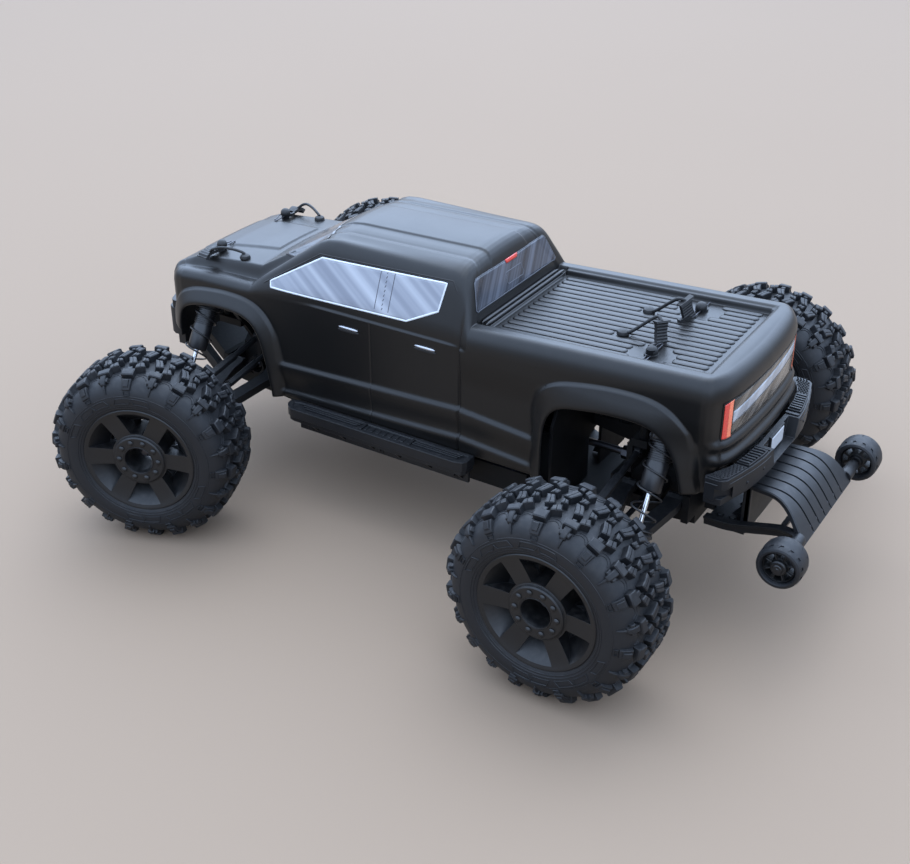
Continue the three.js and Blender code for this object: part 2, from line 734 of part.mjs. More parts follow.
// The arch outline moved outwards by the width of its flare.
function flareOutline(arch, width) {
  const middle = arch.reduce((sum, [x]) => sum + x, 0) / arch.length;
  const level = 95;
  return arch.map(([x, z]) => {
    const away = new THREE.Vector2(x - middle, z - level);
    away.setLength(away.length() + width);
    return [middle + away.x, Math.max(level + away.y, SILL_Z)];
  });
}

const railZ = (x) => RAIL_Z + (BED_FRONT - x) * BED_RISE;

// The space inside the body's outline, moved in by inset: lower body joined with the cab.
function bodyVolume(inset) {
  const inner = inset > 0;
  const drop = inner ? PANEL_DROP + inset : 0;
  const base = inner ? 40 : SILL_Z;
  const side = prism(
    [
      [-264 + inset, base],
      [-264 + inset, 186],
      [-257 + inset, railZ(-257) - Math.max(drop, 6)],
      [-247 + inset, railZ(-247) - drop],
      [BED_FRONT, railZ(BED_FRONT) - drop],
      [120, 192 - inset],
      [160, 193 - inset],
      [215, 187.5 - inset],
      [238, 184.5 - inset],
      [250, 180 - inset],
      [259 - inset, 171 - inset],
      [262 - inset, 158],
      [262 - inset, base],
    ],
    "y",
    -100,
    100,
  );
  const half = BODY_HALF - inset;
  const section = prism(
    mirrored([
      [half - 14, 206 - inset],
      [half - 10, 199 - inset],
      [half - 5, 190 - inset],
      [half - 1, 178 - inset],
      [half, 150],
      [half - 0.5, 122],
      [half + 0.8, 112],
      [half - 0.5, 98],
      [half + 0.6, base],
    ]),
    "x",
    -300,
    300,
  );
  const plan = prism(
    [
      [-266 + inset, -52], [-262 + inset, -66], [-252, -half - 1], [246, -half - 1], [258 - inset, -66],
      [264 - inset, -40], [264 - inset, 40], [258 - inset, 66], [246, half + 1], [-252, half + 1],
      [-262 + inset, 66], [-266 + inset, 52],
    ],
    "z",
    0,
    240,
  );
  const cabSide = prism(
    [
      [-52 + inset, 150],
      [-52 + inset, 194],
      [-43 + inset, 222 - inset],
      [-39 + inset, 231 - inset],
      [-30 + inset, ROOF_Z - inset],
      [86 - inset, 233 - inset],
      [103 - inset, 226 - inset],
      [162 - inset, 191],
      [162 - inset, 150],
    ],
    "y",
    -100,
    100,
  );
  const cabSection = prism(
    mirrored([
      [24, ROOF_Z - inset],
      [47 - inset, 232.5 - inset],
      [58 - inset, 227 - inset],
      [64 - inset, 219 - inset],
      [75.5 - inset, 187],
      [76.5 - inset, 150],
    ]),
    "x",
    -100,
    200,
  );
  return join(common(side, section, plan), common(cabSide, cabSection));
}

function bodyShell(parent) {
  const flares = [FRONT_ARCH, REAR_ARCH].map((arch) => {
    const ring = prism(flareOutline(arch, 9), "y", -FLARE_HALF, FLARE_HALF);
    const keep = box(-252, 252, -100, 100, SILL_Z, 190);
    const edge = box(-300, 300, -BODY_HALF + 4, BODY_HALF - 4, 0, 300);
    return cut(common(ring, keep), edge);
  });
  const bedRecess = common(
    prism(
      [[-242, -56], [-236, -62], [-66, -62], [-60, -58], [-60, 58], [-66, 62], [-236, 62], [-242, 56]],
      "z",
      150,
      220,
    ),
    prism(
      [[-242, railZ(-242) - PANEL_DROP], [-60, railZ(-60) - PANEL_DROP], [-60, 220], [-242, 220]],
      "y",
      -62,
      62,
    ),
  );
  const tailCut = box(-300, -254, -100, 100, 0, 133.5);
  const noseCut = box(246, 300, -100, 100, 0, 131);
  const legCut = box(-300, -238, -100, 100, 0, 113);
  const arches = [FRONT_ARCH, REAR_ARCH].map((arch) => prism(arch, "y", -100, 100));
  const holes = [FRONT_POST, REAR_POST].flatMap(({ x, y }) => [
    rod([x, y, 150], [x, y, 210], POST_HOLE),
    rod([x, -y, 150], [x, -y, 210], POST_HOLE),
  ]);
  const outer = join(cut(bodyVolume(0), bedRecess), ...flares);
  const shell = cut(outer, bodyVolume(WALL), ...arches, tailCut, noseCut, legCut, ...holes);
  piece("body_shell", shell, GRAPHITE, parent);
}

// ---- The whole truck ----
const truck = new THREE.Group();
truck.name = "rc_monster_truck";
truck.position.x = -(REAR_END + FRONT_END) / 2;

for (const end of ["front", "rear"]) {
  for (const side of ["left", "right"]) corner(truck, end, side);
}
bulkheads(truck);
steering(truck);
driveLine(truck);
electronics(truck);
chassis(truck);
frontBumper(truck);
rearBumper(truck);
wheelieBar(truck);
sideSteps(truck);
bodyShell(truck);

export default truck;
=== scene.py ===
import math

import bmesh
import bpy
import numpy as np
from mathutils import Matrix, Vector
from mathutils.bvhtree import BVHTree


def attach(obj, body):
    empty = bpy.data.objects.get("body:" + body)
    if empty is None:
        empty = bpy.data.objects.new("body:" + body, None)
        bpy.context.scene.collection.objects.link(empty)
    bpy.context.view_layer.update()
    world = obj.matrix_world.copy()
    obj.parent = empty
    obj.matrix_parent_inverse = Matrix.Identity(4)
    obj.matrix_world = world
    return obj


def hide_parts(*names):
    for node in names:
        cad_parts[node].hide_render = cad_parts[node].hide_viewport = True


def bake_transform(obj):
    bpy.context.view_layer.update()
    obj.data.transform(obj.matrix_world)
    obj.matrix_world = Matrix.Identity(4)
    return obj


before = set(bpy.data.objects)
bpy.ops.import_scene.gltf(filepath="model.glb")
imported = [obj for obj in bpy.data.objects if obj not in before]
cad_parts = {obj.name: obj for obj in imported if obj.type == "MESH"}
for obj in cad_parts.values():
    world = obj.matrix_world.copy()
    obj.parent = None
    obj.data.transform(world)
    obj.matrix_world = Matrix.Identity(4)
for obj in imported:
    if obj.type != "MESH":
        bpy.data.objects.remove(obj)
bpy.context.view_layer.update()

# Shapes below are in millimetres in the truck's own frame, centred on the wheelbase; the row frame's origin
# is SHIFT behind that.
SHIFT = 21.1
MM = 0.001
TO_ROW = Matrix.Scale(MM, 4) @ Matrix.Translation((SHIFT, 0, 0))
SIDES = (("left", 1), ("right", -1))
WHEELBASE = 390.0
AXLE_HEIGHT = 77.5
STEER = math.radians(22)  # the front wheels stand turned to the left
Y_TO_X = Matrix.Rotation(-math.pi / 2, 4, "Z")  # for lathed shapes, whose axis is y
Y_TO_Z = Matrix.Rotation(math.pi / 2, 4, "X")


# ---- Small mathematics ----
def smooth(lo, hi, x):
    t = np.clip((np.asarray(x, float) - lo) / (hi - lo), 0, 1)
    return t * t * (3 - 2 * t)


def spline(points, per_span=8, closed=False):
    """Catmull-Rom curve through the points, as an array."""
    pts = np.array(points, float)
    n = len(pts)
    spans = n if closed else n - 1
    out = []
    for i in range(spans):
        if closed:
            p0, p1, p2, p3 = (pts[(i + k) % n] for k in (-1, 0, 1, 2))
        else:
            p1, p2 = pts[i], pts[i + 1]
            p0 = pts[i - 1] if i > 0 else 2 * p1 - p2
            p3 = pts[i + 2] if i + 2 < n else 2 * p2 - p1
        for k in range(per_span):
            t = k / per_span
            out.append(0.5 * (2 * p1 + (p2 - p0) * t + (2 * p0 - 5 * p1 + 4 * p2 - p3) * t**2
                              + (3 * p1 - p0 - 3 * p2 + p3) * t**3))
    if not closed:
        out.append(pts[-1])
    return np.array(out)


def resample(points, count):
    pts = np.array(points, float)
    steps = np.linalg.norm(np.diff(pts, axis=0), axis=1)
    at = np.concatenate([[0], np.cumsum(steps)])
    want = np.linspace(0, at[-1], count)
    return np.stack([np.interp(want, at, pts[:, k]) for k in range(pts.shape[1])], axis=1)


# ---- Meshes ----
class Shape:
    """Vertices in millimetres and faces, gathered before they become one piece."""

    def __init__(self):
        self.verts, self.faces = [], []

    def add(self, verts, faces, matrix=None):
        base = len(self.verts)
        points = [Vector(v) for v in verts]
        if matrix is not None:
            points = [matrix @ p for p in points]
        flip = matrix is not None and matrix.determinant() < 0
        self.verts += [tuple(p) for p in points]
        self.faces += [[i + base for i in (reversed(f) if flip else f)] for f in faces]
        return self

    def join(self, other, matrix=None):
        return self.add(other.verts, other.faces, matrix)


def grid_faces(rows, columns, wrap_rows=False, wrap_columns=False):
    faces = []
    for i in range(rows if wrap_rows else rows - 1):
        for j in range(columns if wrap_columns else columns - 1):
            a, b = i * columns + j, i * columns + (j + 1) % columns
            c, d = ((i + 1) % rows) * columns + (j + 1) % columns, ((i + 1) % rows) * columns + j
            faces.append([a, b, c, d])
    return faces


def lathe(profile, segments=48, closed=True):
    """(radius, along y) points turned about the y axis."""
    shape = Shape()
    verts = []
    for k in range(segments):
        a = 2 * math.pi * k / segments
        verts += [(r * math.cos(a), y, r * math.sin(a)) for r, y in profile]
    return shape.add(verts, grid_faces(segments, len(profile), True, closed))


def prism(outline, low, high, axis="z"):
    """A flat outline pushed along an axis: (x, y) along z, (x, z) along y, (y, z) along x."""
    order = {"z": lambda u, v, w: (u, v, w), "y": lambda u, v, w: (u, w, v), "x": lambda u, v,
             w: (w, u, v)}[axis]
    n = len(outline)
    verts = [order(u, v, low) for u, v in outline] + [order(u, v, high) for u, v in outline]
    faces = [list(range(n))[::-1], list(range(n, 2 * n))]
    faces += [[i, (i + 1) % n, (i + 1) % n + n, i + n] for i in range(n)]
    return Shape().add(verts, faces)


def block(u0, u1, v0, v1, low, high, axis="z"):
    """A prism on a rectangle."""
    return prism([(u0, v0), (u1, v0), (u1, v1), (u0, v1)], low, high, axis)


def sweep(path, section, closed=False, up=(0, 0, 1), caps=True):
    """A section of (side, up) points carried along a path: one outline, or one for each point."""
    pts = [Vector(p) for p in path]
    n = len(pts)
    sections = section if isinstance(section[0][0], (list, tuple, np.ndarray)) else [section] * n
    m = len(sections[0])
    verts, normal = [], Vector(up)
    for i, p in enumerate(pts):
        before = pts[i - 1] if i > 0 or closed else p
        after = pts[(i + 1) % n] if i < n - 1 or closed else p
        tangent = (after - before).normalized()
        normal = normal - tangent * normal.dot(tangent)
        if normal.length < 1e-6:
            normal = tangent.orthogonal()
        normal.normalize()
        side = tangent.cross(normal)
        verts += [tuple(p + side * u + normal * v) for u, v in sections[i]]
    faces = grid_faces(n, m, closed, True)
    if not closed and caps:
        faces += [list(range(m)), list(range((n - 1) * m, n * m))[::-1]]
    return Shape().add(verts, faces)


def spokes(count, offset=0.0):
    """(cosine, sine) of equal steps round a circle."""
    return [(math.cos(a), math.sin(a)) for a in (2 * math.pi * (k + offset) / count for k in range(count))]


def circle(radius, count=10, squash=1.0):
    return [(radius * math.cos(2 * math.pi * k / count), squash * radius * math.sin(2 * math.pi * k / count))
            for k in range(count)]


def tube(path, radius, count=10, closed=False):
    return sweep(path, circle(radius, count), closed)


def rod(start, end, radius, count=20, chamfer=0.4):
    """A round bar with chamfered ends."""
    a, b = Vector(start), Vector(end)
    d = (b - a).normalized()
    c = min(chamfer, radius * 0.5)
    path = [a, a + d * c, b - d * c, b]
    small = circle(radius - c, count)
    full = circle(radius, count)
    return sweep(path, [small, full, full, small], up=d.orthogonal())


def dome(centre, radius, height, axis=(0, 0, 1), count=20, rings=6):
    """Half an ellipsoid standing on a flat face."""
    d = Vector(axis).normalized()
    path, sections = [], []
    for k in range(rings + 1):
        a = math.pi / 2 * k / rings
        path.append(Vector(centre) + d * height * math.sin(a) * (1 + 1e-4 * k))
        sections.append(circle(max(radius * math.cos(a), 0.02), count))
    return sweep(path, sections, up=d.orthogonal())


def ball(centre, radius, count=16, rings=10):
    d = Vector((0, 0, 1))
    path, sections = [], []
    for k in range(rings + 1):
        a = math.pi * (k / rings - 0.5)
        path.append(Vector(centre) + d * radius * math.sin(a))
        sections.append(circle(max(radius * math.cos(a), 0.02), count))
    return sweep(path, sections, up=d.orthogonal())


def mesh_object(name, verts, faces, merge=0.0):
    """An object in the scene, its faces turned outward and its points closer than merge made one."""
    mesh = bpy.data.meshes.new(name)
    mesh.from_pydata(verts, [], faces)
    bm = bmesh.new()
    bm.from_mesh(mesh)
    if merge:
        bmesh.ops.remove_doubles(bm, verts=bm.verts, dist=merge)
    bmesh.ops.recalc_face_normals(bm, faces=bm.faces)
    bm.to_mesh(mesh)
    bm.free()
    obj = bpy.data.objects.new(name, mesh)
    bpy.context.scene.collection.objects.link(obj)
    return obj


def make(name, shape, mat, body, smooth_below, bevel=0.0, matrix=None, replaces=None):
    """Turns a shape into a piece that rides on a body."""
    whole = TO_ROW @ matrix if matrix is not None else TO_ROW
    obj = mesh_object(name, [tuple(whole @ Vector(v)) for v in shape.verts], shape.faces, merge=1e-6)
    mesh = obj.data
    mesh.validate()
    mesh.materials.append(mat)
    mesh.shade_smooth()
    mesh.set_sharp_from_angle(angle=math.radians(smooth_below))
    if bevel:
        soften(obj, bevel)
    if body:
        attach(obj, body)
    if replaces:
        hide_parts(replaces)
    return obj


def soften(obj, width, angle=30):
    """Rounds the edges sharper than angle."""
    modifier = obj.modifiers.new("edges", "BEVEL")
    modifier.width = width * MM
    modifier.segments = 2
    modifier.limit_method = "ANGLE"
    modifier.angle_limit = math.radians(angle)
    modifier.harden_normals = False


def carve(target, cutters):
    """The target shape with the cutter shapes taken out of it, through Blender's exact boolean."""
    base = mesh_object("carved", target.verts, target.faces)
    tools = [mesh_object("cutter", c.verts, c.faces) for c in cutters]
    for tool in tools:
        modifier = base.modifiers.new("cut", "BOOLEAN")
        modifier.operation = "DIFFERENCE"
        modifier.solver = "EXACT"
        modifier.object = tool
    bpy.context.view_layer.update()
    result = bpy.data.meshes.new_from_object(base.evaluated_get(bpy.context.evaluated_depsgraph_get()))
    shape = Shape().add([tuple(v.co) for v in result.vertices], [list(p.vertices) for p in result.polygons])
    for obj in [base, *tools]:
        bpy.data.objects.remove(obj)
    return shape


# ---- Materials ----
DUST = (0.42, 0.38, 0.34)


def plug(tree, node, inputs):
    """Sets a node's inputs; one that is given a socket is linked to it."""
    for key, value in inputs.items():
        if isinstance(value, bpy.types.NodeSocket):
            tree.links.new(value, node.inputs[key])
        else:
            node.inputs[key].default_value = value


def add_node(tree, kind, inputs, **settings):
    node = tree.nodes.new("ShaderNode" + kind)
    for key, value in settings.items():
        setattr(node, key, value)
    plug(tree, node, inputs)
    return node


def new_material(name):
    mat = bpy.data.materials.new(name)
    mat.use_nodes = True
    return mat, mat.node_tree, mat.node_tree.nodes["Principled BSDF"]


def material(name, colour, roughness, metallic=0.0, variation=0.15, scale=60.0, grain=0.02, grain_scale=900.0,
             rough_variation=0.08, coat=0.0, dust=0.0, specular=0.5, pits=0.0):
    """A moulded or painted surface: tone and roughness vary a little, with a fine grain and dust on top."""
    mat, tree, shader = new_material(name)
    where = add_node(tree, "TexCoord", {}).outputs["Object"]
    broad = add_node(tree, "TexNoise", {"Vector": where, "Scale": scale, "Detail": 4}).outputs["Fac"]
    tone = add_node(tree, "MapRange", {"Value": broad, "To Min": 1 - variation, "To Max": 1 + variation})
    tint = add_node(tree, "VectorMath", {0: colour, "Scale": tone.outputs["Result"]}, operation="SCALE")
    surface = tint.outputs["Vector"]
    if dust:
        facing = add_node(tree, "NewGeometry", {}).outputs["Normal"]
        up = add_node(tree, "SeparateXYZ", {"Vector": facing}).outputs["Z"]
        speck = add_node(tree, "TexNoise", {"Vector": where, "Scale": scale * 5, "Detail": 6}).outputs["Fac"]
        patch = add_node(tree, "MapRange", {"Value": speck, "From Min": 0.45, "From Max": 0.75})
        lying = add_node(tree, "MapRange", {"Value": up, "From Min": 0.1, "From Max": 1.0, "To Max": dust})
        amount = add_node(tree, "Math", {0: patch.outputs["Result"], 1: lying.outputs["Result"]},
                          operation="MULTIPLY")
        mix = add_node(tree, "Mix", {"Factor": amount.outputs[0], "A": surface, "B": (*DUST, 1)},
                       data_type="RGBA")
        surface = mix.outputs["Result"]
    rough = add_node(tree, "MapRange", {"Value": broad, "To Min": max(roughness - rough_variation, 0.02),
                                        "To Max": min(roughness + rough_variation, 1)})
    height = add_node(tree, "TexNoise", {"Vector": where, "Scale": grain_scale, "Detail": 2}).outputs["Fac"]
    if pits:
        spots = add_node(tree, "TexVoronoi", {"Vector": where, "Scale": grain_scale * 0.35})
        height = add_node(tree, "Math", {0: spots.outputs["Distance"], 1: pits, 2: height},
                          operation="MULTIPLY_ADD").outputs[0]
    bump = add_node(tree, "Bump", {"Height": height, "Strength": min(grain * 20, 1),
                                   "Distance": grain * MM * 2})
    plug(tree, shader, {"Base Color": surface, "Metallic": metallic, "Roughness": rough.outputs["Result"],
                        "Specular IOR Level": specular, "Coat Weight": coat, "Coat Roughness": 0.35,
                        "Normal": bump.outputs["Normal"]})
    return mat


PAINT = material("graphite_paint", (0.0050, 0.0046, 0.0044), 0.36, variation=0.06, scale=25, grain=0.008,
                 grain_scale=2200, rough_variation=0.03, dust=0.01, specular=0.4)
# Chassis plastic: its own black, kept much darker than the other plastic as painted shade for the parts deep
# under the body.
SHADE_DARKENED_PLASTIC = material("chassis_plastic_painted_shade", (0.0022, 0.0023, 0.0027), 0.6, variation=0.12, scale=60, grain=0.015,
                specular=0.25)
INSIDE = material("shell_inside", (0.012, 0.012, 0.013), 0.6, variation=0.1)
RUBBER = material("tyre_rubber", (0.0062, 0.0068, 0.0084), 0.56, variation=0.22, scale=40, grain=0.03,
                  grain_scale=1500, rough_variation=0.08, dust=0.05, specular=0.4)
WHEEL = material("wheel_plastic", (0.0028, 0.0030, 0.0036), 0.44, variation=0.1, scale=50, grain=0.016,
                 grain_scale=2500, dust=0.05)
PLASTIC = material("moulded_plastic", (0.0058, 0.0062, 0.0074), 0.48, variation=0.12, scale=60, grain=0.02,
                   grain_scale=2000, rough_variation=0.1, dust=0.03, pits=0.3, specular=0.4)
SOFT_RUBBER = material("strap_rubber", (0.007, 0.007, 0.0075), 0.55, variation=0.15, scale=120, grain=0.02)
SHOCK = material("shock_plastic", (0.008, 0.008, 0.009), 0.38, variation=0.1, scale=80, grain=0.01)
SPRING = material("spring_wire", (0.014, 0.014, 0.015), 0.4, metallic=0.2, variation=0.1, scale=150,
                  grain=0.006)
STEEL = material("bright_steel", (0.62, 0.63, 0.65), 0.22, metallic=1.0, variation=0.06, scale=200,
                 grain=0.006)
DARK_STEEL = material("blackened_steel", (0.09, 0.09, 0.10), 0.35, metallic=1.0, variation=0.15, scale=150,
                      grain=0.01)
PACK = material("pack_wrap", (0.02, 0.05, 0.16), 0.35, variation=0.12, scale=70, grain=0.01)
CHROME = material("chrome_film", (0.42, 0.43, 0.46), 0.2, metallic=0.9, variation=0.05, scale=150,
                  grain=0.004)
TRIM_WHITE = material("window_outline", (0.62, 0.65, 0.70), 0.3, metallic=0.2, variation=0.04, scale=150,
                      grain=0.004)
RED_LAMP = material("lamp_red", (0.62, 0.045, 0.03), 0.28, variation=0.15, scale=140, grain=0.006, coat=0.6)
ORANGE_LAMP = material("lamp_orange", (0.85, 0.20, 0.10), 0.28, variation=0.15, scale=140, grain=0.006,
                       coat=0.6)
WINDOW_EDGE = material("window_edge", (0.075, 0.08, 0.095), 0.35, variation=0.06, scale=150, grain=0.004)
PILLAR_LINE = material("pillar_line", (0.06, 0.065, 0.08), 0.4, variation=0.06, scale=150, grain=0.004)
PLATE = material("number_plate", (0.42, 0.43, 0.45), 0.4, variation=0.04, scale=120, grain=0.01)


def reflection_streaked(name, dark, light, degrees, count, roughness, contrast=1.0):
    """A film with soft slanting streaks of painted reflection, in the plane of x and z or of y and z."""
    mat, tree, shader = new_material(name)
    where = add_node(tree, "TexCoord", {}).outputs["Object"]
    split = add_node(tree, "SeparateXYZ", {"Vector": where}).outputs
    along = add_node(tree, "Math", {0: split["X"], 1: split["Y"]}, operation="ADD").outputs[0]
    slant = add_node(tree, "Math", {0: split["Z"], 1: math.tan(math.radians(degrees)), 2: along},
                     operation="MULTIPLY_ADD").outputs[0]
    line = add_node(tree, "CombineXYZ", {"X": slant}).outputs["Vector"]
    bars = add_node(tree, "TexNoise", {"Vector": line, "Scale": count, "Detail": 2.5, "Roughness": 0.8},
                    noise_dimensions="3D").outputs["Fac"]
    ramp = add_node(tree, "MapRange", {"Value": bars, "From Min": 0.5 - 0.16 / contrast,
                                       "From Max": 0.5 + 0.16 / contrast}, interpolation_type="SMOOTHSTEP")
    mix = add_node(tree, "Mix", {"Factor": ramp.outputs["Result"], "A": (*dark, 1), "B": (*light, 1)},
                   data_type="RGBA")
    plug(tree, shader, {"Base Color": mix.outputs["Result"], "Roughness": roughness, "Coat Weight": 0.25})
    return mat


# Window films: their tone and slanting streaks are painted reflections of the sky on clear windows.
SIDE_FILM = reflection_streaked("side_window_film", (0.13, 0.145, 0.185), (0.40, 0.425, 0.47), -50, 24, 0.3, 0.8)
REAR_FILM = reflection_streaked("rear_window_film", (0.020, 0.022, 0.028), (0.10, 0.11, 0.135), 35, 60, 0.25, 1.2)
FRONT_FILM = reflection_streaked("windscreen_film", (0.012, 0.013, 0.016), (0.035, 0.038, 0.047), 40, 45, 0.28)
# Tail band: its dark brown is its own colour, its slanting streaks are painted reflections.
BAND_FILM = reflection_streaked("tail_band_film", (0.016, 0.014, 0.012), (0.14, 0.12, 0.10), 62, 40, 0.22, 1.4)
# A pale grey streak of painted reflection, laid on the tail band and the headlamps.
REFLECTION_STREAK_FILM = reflection_streaked("tail_streak_film", (0.20, 0.21, 0.23), (0.42, 0.44, 0.47), 40, 30, 0.3)


# ---- Body shell: lines from the sill over the shoulder to the centre line, all round the plan outline ----
BODY_HALF, SHELL_THICKNESS, FILM_THICKNESS = 79.0, 1.6, 0.3
RAIL_FRONT, BED_FRONT, BED_RISE, PANEL_DROP = 192.5, -44.0, 0.05, 6.0
SILL_Z, TAIL_LOW_Z, NOSE_LOW_Z, BELT_Z = 84.0, 113.0, 131.0, 176.0
CAB_BACK, CAB_FRONT = -52.2, 163.0
HOOD_FROM = 20.0  # top heights ahead of this x are the hood's, behind it the bed's
TAIL_FROM, NOSE_FROM, NOSE_X = -243.0, 238.0, 262.0  # where the plan outline turns in, and its front end
PINCH, POLE = 200.0, 226.0  # ahead of PINCH and behind -PINCH the lines close up, to meet at POLE and -POLE
FLAT_SHARE = 0.12  # of a line from its edge to the centre, where there is no recess
FRONT_ARCH = spline([
    (138.4, 84), (140.0, 96), (144.0, 116), (148.4, 134), (155.5, 146.0), (167, 152.2), (186, 153.8),
    (205, 152.4), (219, 150), (228.6, 145.6), (232.8, 139), (234.6, 131), (235.2, 122)], 6)
REAR_ARCH = spline([
    (-121.6, 84), (-121.9, 105), (-122.4, 124), (-124.4, 137), (-129, 147), (-138, 153.6), (-154, 157.4),
    (-175, 160.2), (-195, 160.8), (-207.3, 159), (-216, 154), (-224.5, 144), (-230.5, 131.5), (-234.4, 117),
    (-235, 113)], 6)


def rail_z(x):
    return RAIL_FRONT + (BED_FRONT - x) * BED_RISE


def arch_distance(x, z):
    """Distance from points of the side to the nearer wheel arch's edge."""
    pts = np.stack([np.ravel(x), np.ravel(z)], axis=1)
    best = np.full(len(pts), 1e9)
    for arch in (FRONT_ARCH, REAR_ARCH):
        a, b = arch[:-1], arch[1:]
        d = b - a
        t = np.clip(((pts[:, None] - a) * d).sum(2) / (d * d).sum(1), 0, 1)
        gap = np.linalg.norm(pts[:, None] - (a + t[..., None] * d), axis=2).min(1)
        best = np.minimum(best, gap)
    return best.reshape(np.shape(x))


def bottom_z(x):
    """Height of the shell's lower edge on the side."""
    if x > FRONT_ARCH[-1][0]:
        return float(np.interp(x, [FRONT_ARCH[-1][0], NOSE_X], [FRONT_ARCH[-1][1], NOSE_LOW_Z]))
    if x >= FRONT_ARCH[0][0]:
        return float(np.interp(x, FRONT_ARCH[:, 0], FRONT_ARCH[:, 1]))
    if x > REAR_ARCH[0][0]:
        return SILL_Z
    if x >= REAR_ARCH[-1][0]:
        return float(np.interp(-x, -REAR_ARCH[:, 0], REAR_ARCH[:, 1]))
    return TAIL_LOW_Z


def wall_offset(x, z, tail):
    """How far the side stands out from the plan outline: two ridges, arch flares, the tail's mouldings."""
    upper = np.interp(x, [-110, -44, 132], [118.5, 124.5, 116.5])
    lower = np.interp(x, [-113, -44, 132], [94, 99.5, 91.5])
    out = -0.6 + 2.9 * smooth(upper + 0.5, upper - 3.5, z) - 2.4 * smooth(upper - 5, lower + 3, z)
    out = out + 2.4 * smooth(lower + 0.5, lower - 3, z) - 1.6 * smooth(lower - 4, SILL_Z, z)
    out = out + 0.5 * smooth(178, 150, z)
    fade = np.clip(np.minimum((x + 121) / 6, (142 - x) / 6), 0, 1)
    side = out * fade
    gap = arch_distance(x, z)
    front_width, rear_width = np.interp(z, [88, 115], [9, 13.6]), np.interp(z, [125, 160], [12.5, 19.5])
    width = np.where(x > 0, front_width, rear_width)
    flare = (2.0 + 8.0 * (1 - gap / width)) * smooth(width + 0.6, width - 2.2, gap) - 2.4 * np.exp(-gap / 1.2)
    in_arch_zone = np.where((x > 118) | (x < -98), 1.0, 0.0)
    side = np.maximum(side, flare * in_arch_zone) + 3.2 * smooth(-43, -47, x) * smooth(142, 172, z)
    split = np.exp(-((x + 44.5) / 0.8) ** 2) * 1.6 + np.exp(-((x - 39.3) / 0.5) ** 2) * 0.35
    side = side - split * smooth(186, 178, z)
    mould = 2.4 * np.exp(-((z - 150.0) / 3.6) ** 2) + 4.2 * np.exp(-(np.abs(z - 138.5) / 5.0) ** 3)
    mould = mould - 1.2 * smooth(153, 156, z) * smooth(188, 184, z)
    return side * (1 - tail) + mould * tail


def top_height(x, y):
    """Height of the hood and of the bed's rails, looked down on."""
    x, y = np.asarray(x, float), np.abs(np.asarray(y, float))
    hood_x = [165, 190, 219, 236, 246, 253, 258, 262]
    edge = np.interp(x, hood_x, [189, 187, 184.5, 181.5, 177.5, 172.5, 167, 160])
    centre = np.interp(x, hood_x, [192, 190, 186.8, 183.5, 179, 173.5, 167.5, 160])
    fender = np.interp(x, [150, 175, 215, 240, 250, 262], [179, 177.5, 176.5, 174.5, 172.5, 160])
    inner = np.interp(x, [165, 215, 250], [58, 57, 60])
    hood = centre + (edge - centre) * np.clip(y / 57, 0, 1) ** 2
    low = smooth(inner, inner + 7, y) * smooth(262, 245, x)
    hood = hood * (1 - low) + fender * low
    panel_edge = np.interp(x, [168, 240], [27, 35])
    raised = smooth(panel_edge + 2.2, panel_edge - 1.2, y) * smooth(167.5, 169.5, x) * smooth(256, 240, x)
    hood = hood + 1.3 * raised
    between_rails = smooth(66.2, 64.6, y)
    bed = rail_z(x) - 1.6 * between_rails * smooth(-244, -240, x) - 2.5 * smooth(-246, -258, x) ** 2
    bed = bed - 2.2 * smooth(-61.0, -60.2, x) * between_rails
    return np.where(x > HOOD_FROM, hood, bed)


def recess_depth(x):
    """How far the bed's floor lies below the ledge inside the rails."""
    return (PANEL_DROP - 1.6) * smooth(-59.6, -61.0, x)


def roof_centre(x):
    return 235.8 - (x + 30) * 0.026


# Points on a line: up the wall, over the shoulder, in to the recess's edge, down its step, and to the centre
WALL_ROWS, SHOULDER_ROWS, EDGE_ROWS, STEP_ROWS, PANEL_ROWS = 60, 34, 10, 4, 44
ROOF_HALF = 43.0


def cab_section(x):
    """(y, z) from the belt to the centre line, with the two roof creases."""
    top = roof_centre(x)
    side = spline([(78.6, 176), (78.0, 182), (76.6, 188), (74.2, 195), (70.2, 206), (66.4, 216),
                   (64.2, 221.0), (61.6, 225.0), (57.5, 228.4), (51, top - 4.6), (ROOF_HALF, top - 3.4)], 8)
    y = np.linspace(ROOF_HALF, 0, 200)
    z = top - 0.4 - 3.0 * (y / ROOF_HALF) ** 2
    z = z - 1.1 * smooth(22.0, 24.4, y) + 0.5 * smooth(24.4, 34, y) * smooth(ROOF_HALF, 36, y)
    blend_in = smooth(ROOF_HALF, 39, y)
    roof = np.stack([y, z * blend_in + (top - 3.4) * (1 - blend_in)], axis=1)
    roof_rows = EDGE_ROWS + STEP_ROWS + PANEL_ROWS
    return np.concatenate([resample(side, SHOULDER_ROWS), resample(roof, roof_rows + 1)[1:]])


def cab_share(x):
    """0 where the body is bed or hood, 1 under the roof, by height between them."""
    if not CAB_BACK < x < CAB_FRONT:
        return 0.0
    profile_x = [CAB_BACK, -43, -40.6, -38.5, -36, -33, -28, 82, 92, 98, 104, CAB_FRONT]
    profile_z = [0, 0.69, 0.83, 0.905, 0.955, 0.985, 1, 1, 0.975, 0.93, 0.855, 0]
    return float(np.interp(x, profile_x, profile_z))


def recess_cut(start, inner, inset):
    """Where the line from start to inner crosses the bed recess's outline, as a share of the line."""
    half_y, rear = 62.5 - inset, -240.5 + inset
    d = np.array(inner) - np.array(start)
    candidates = []
    if abs(start[1]) > half_y and abs(d[1]) > 1e-9:
        candidates.append((half_y - start[1]) / d[1])
    if start[0] < rear:
        candidates.append((rear - start[0]) / d[0])
    return max(candidates) if candidates else FLAT_SHARE


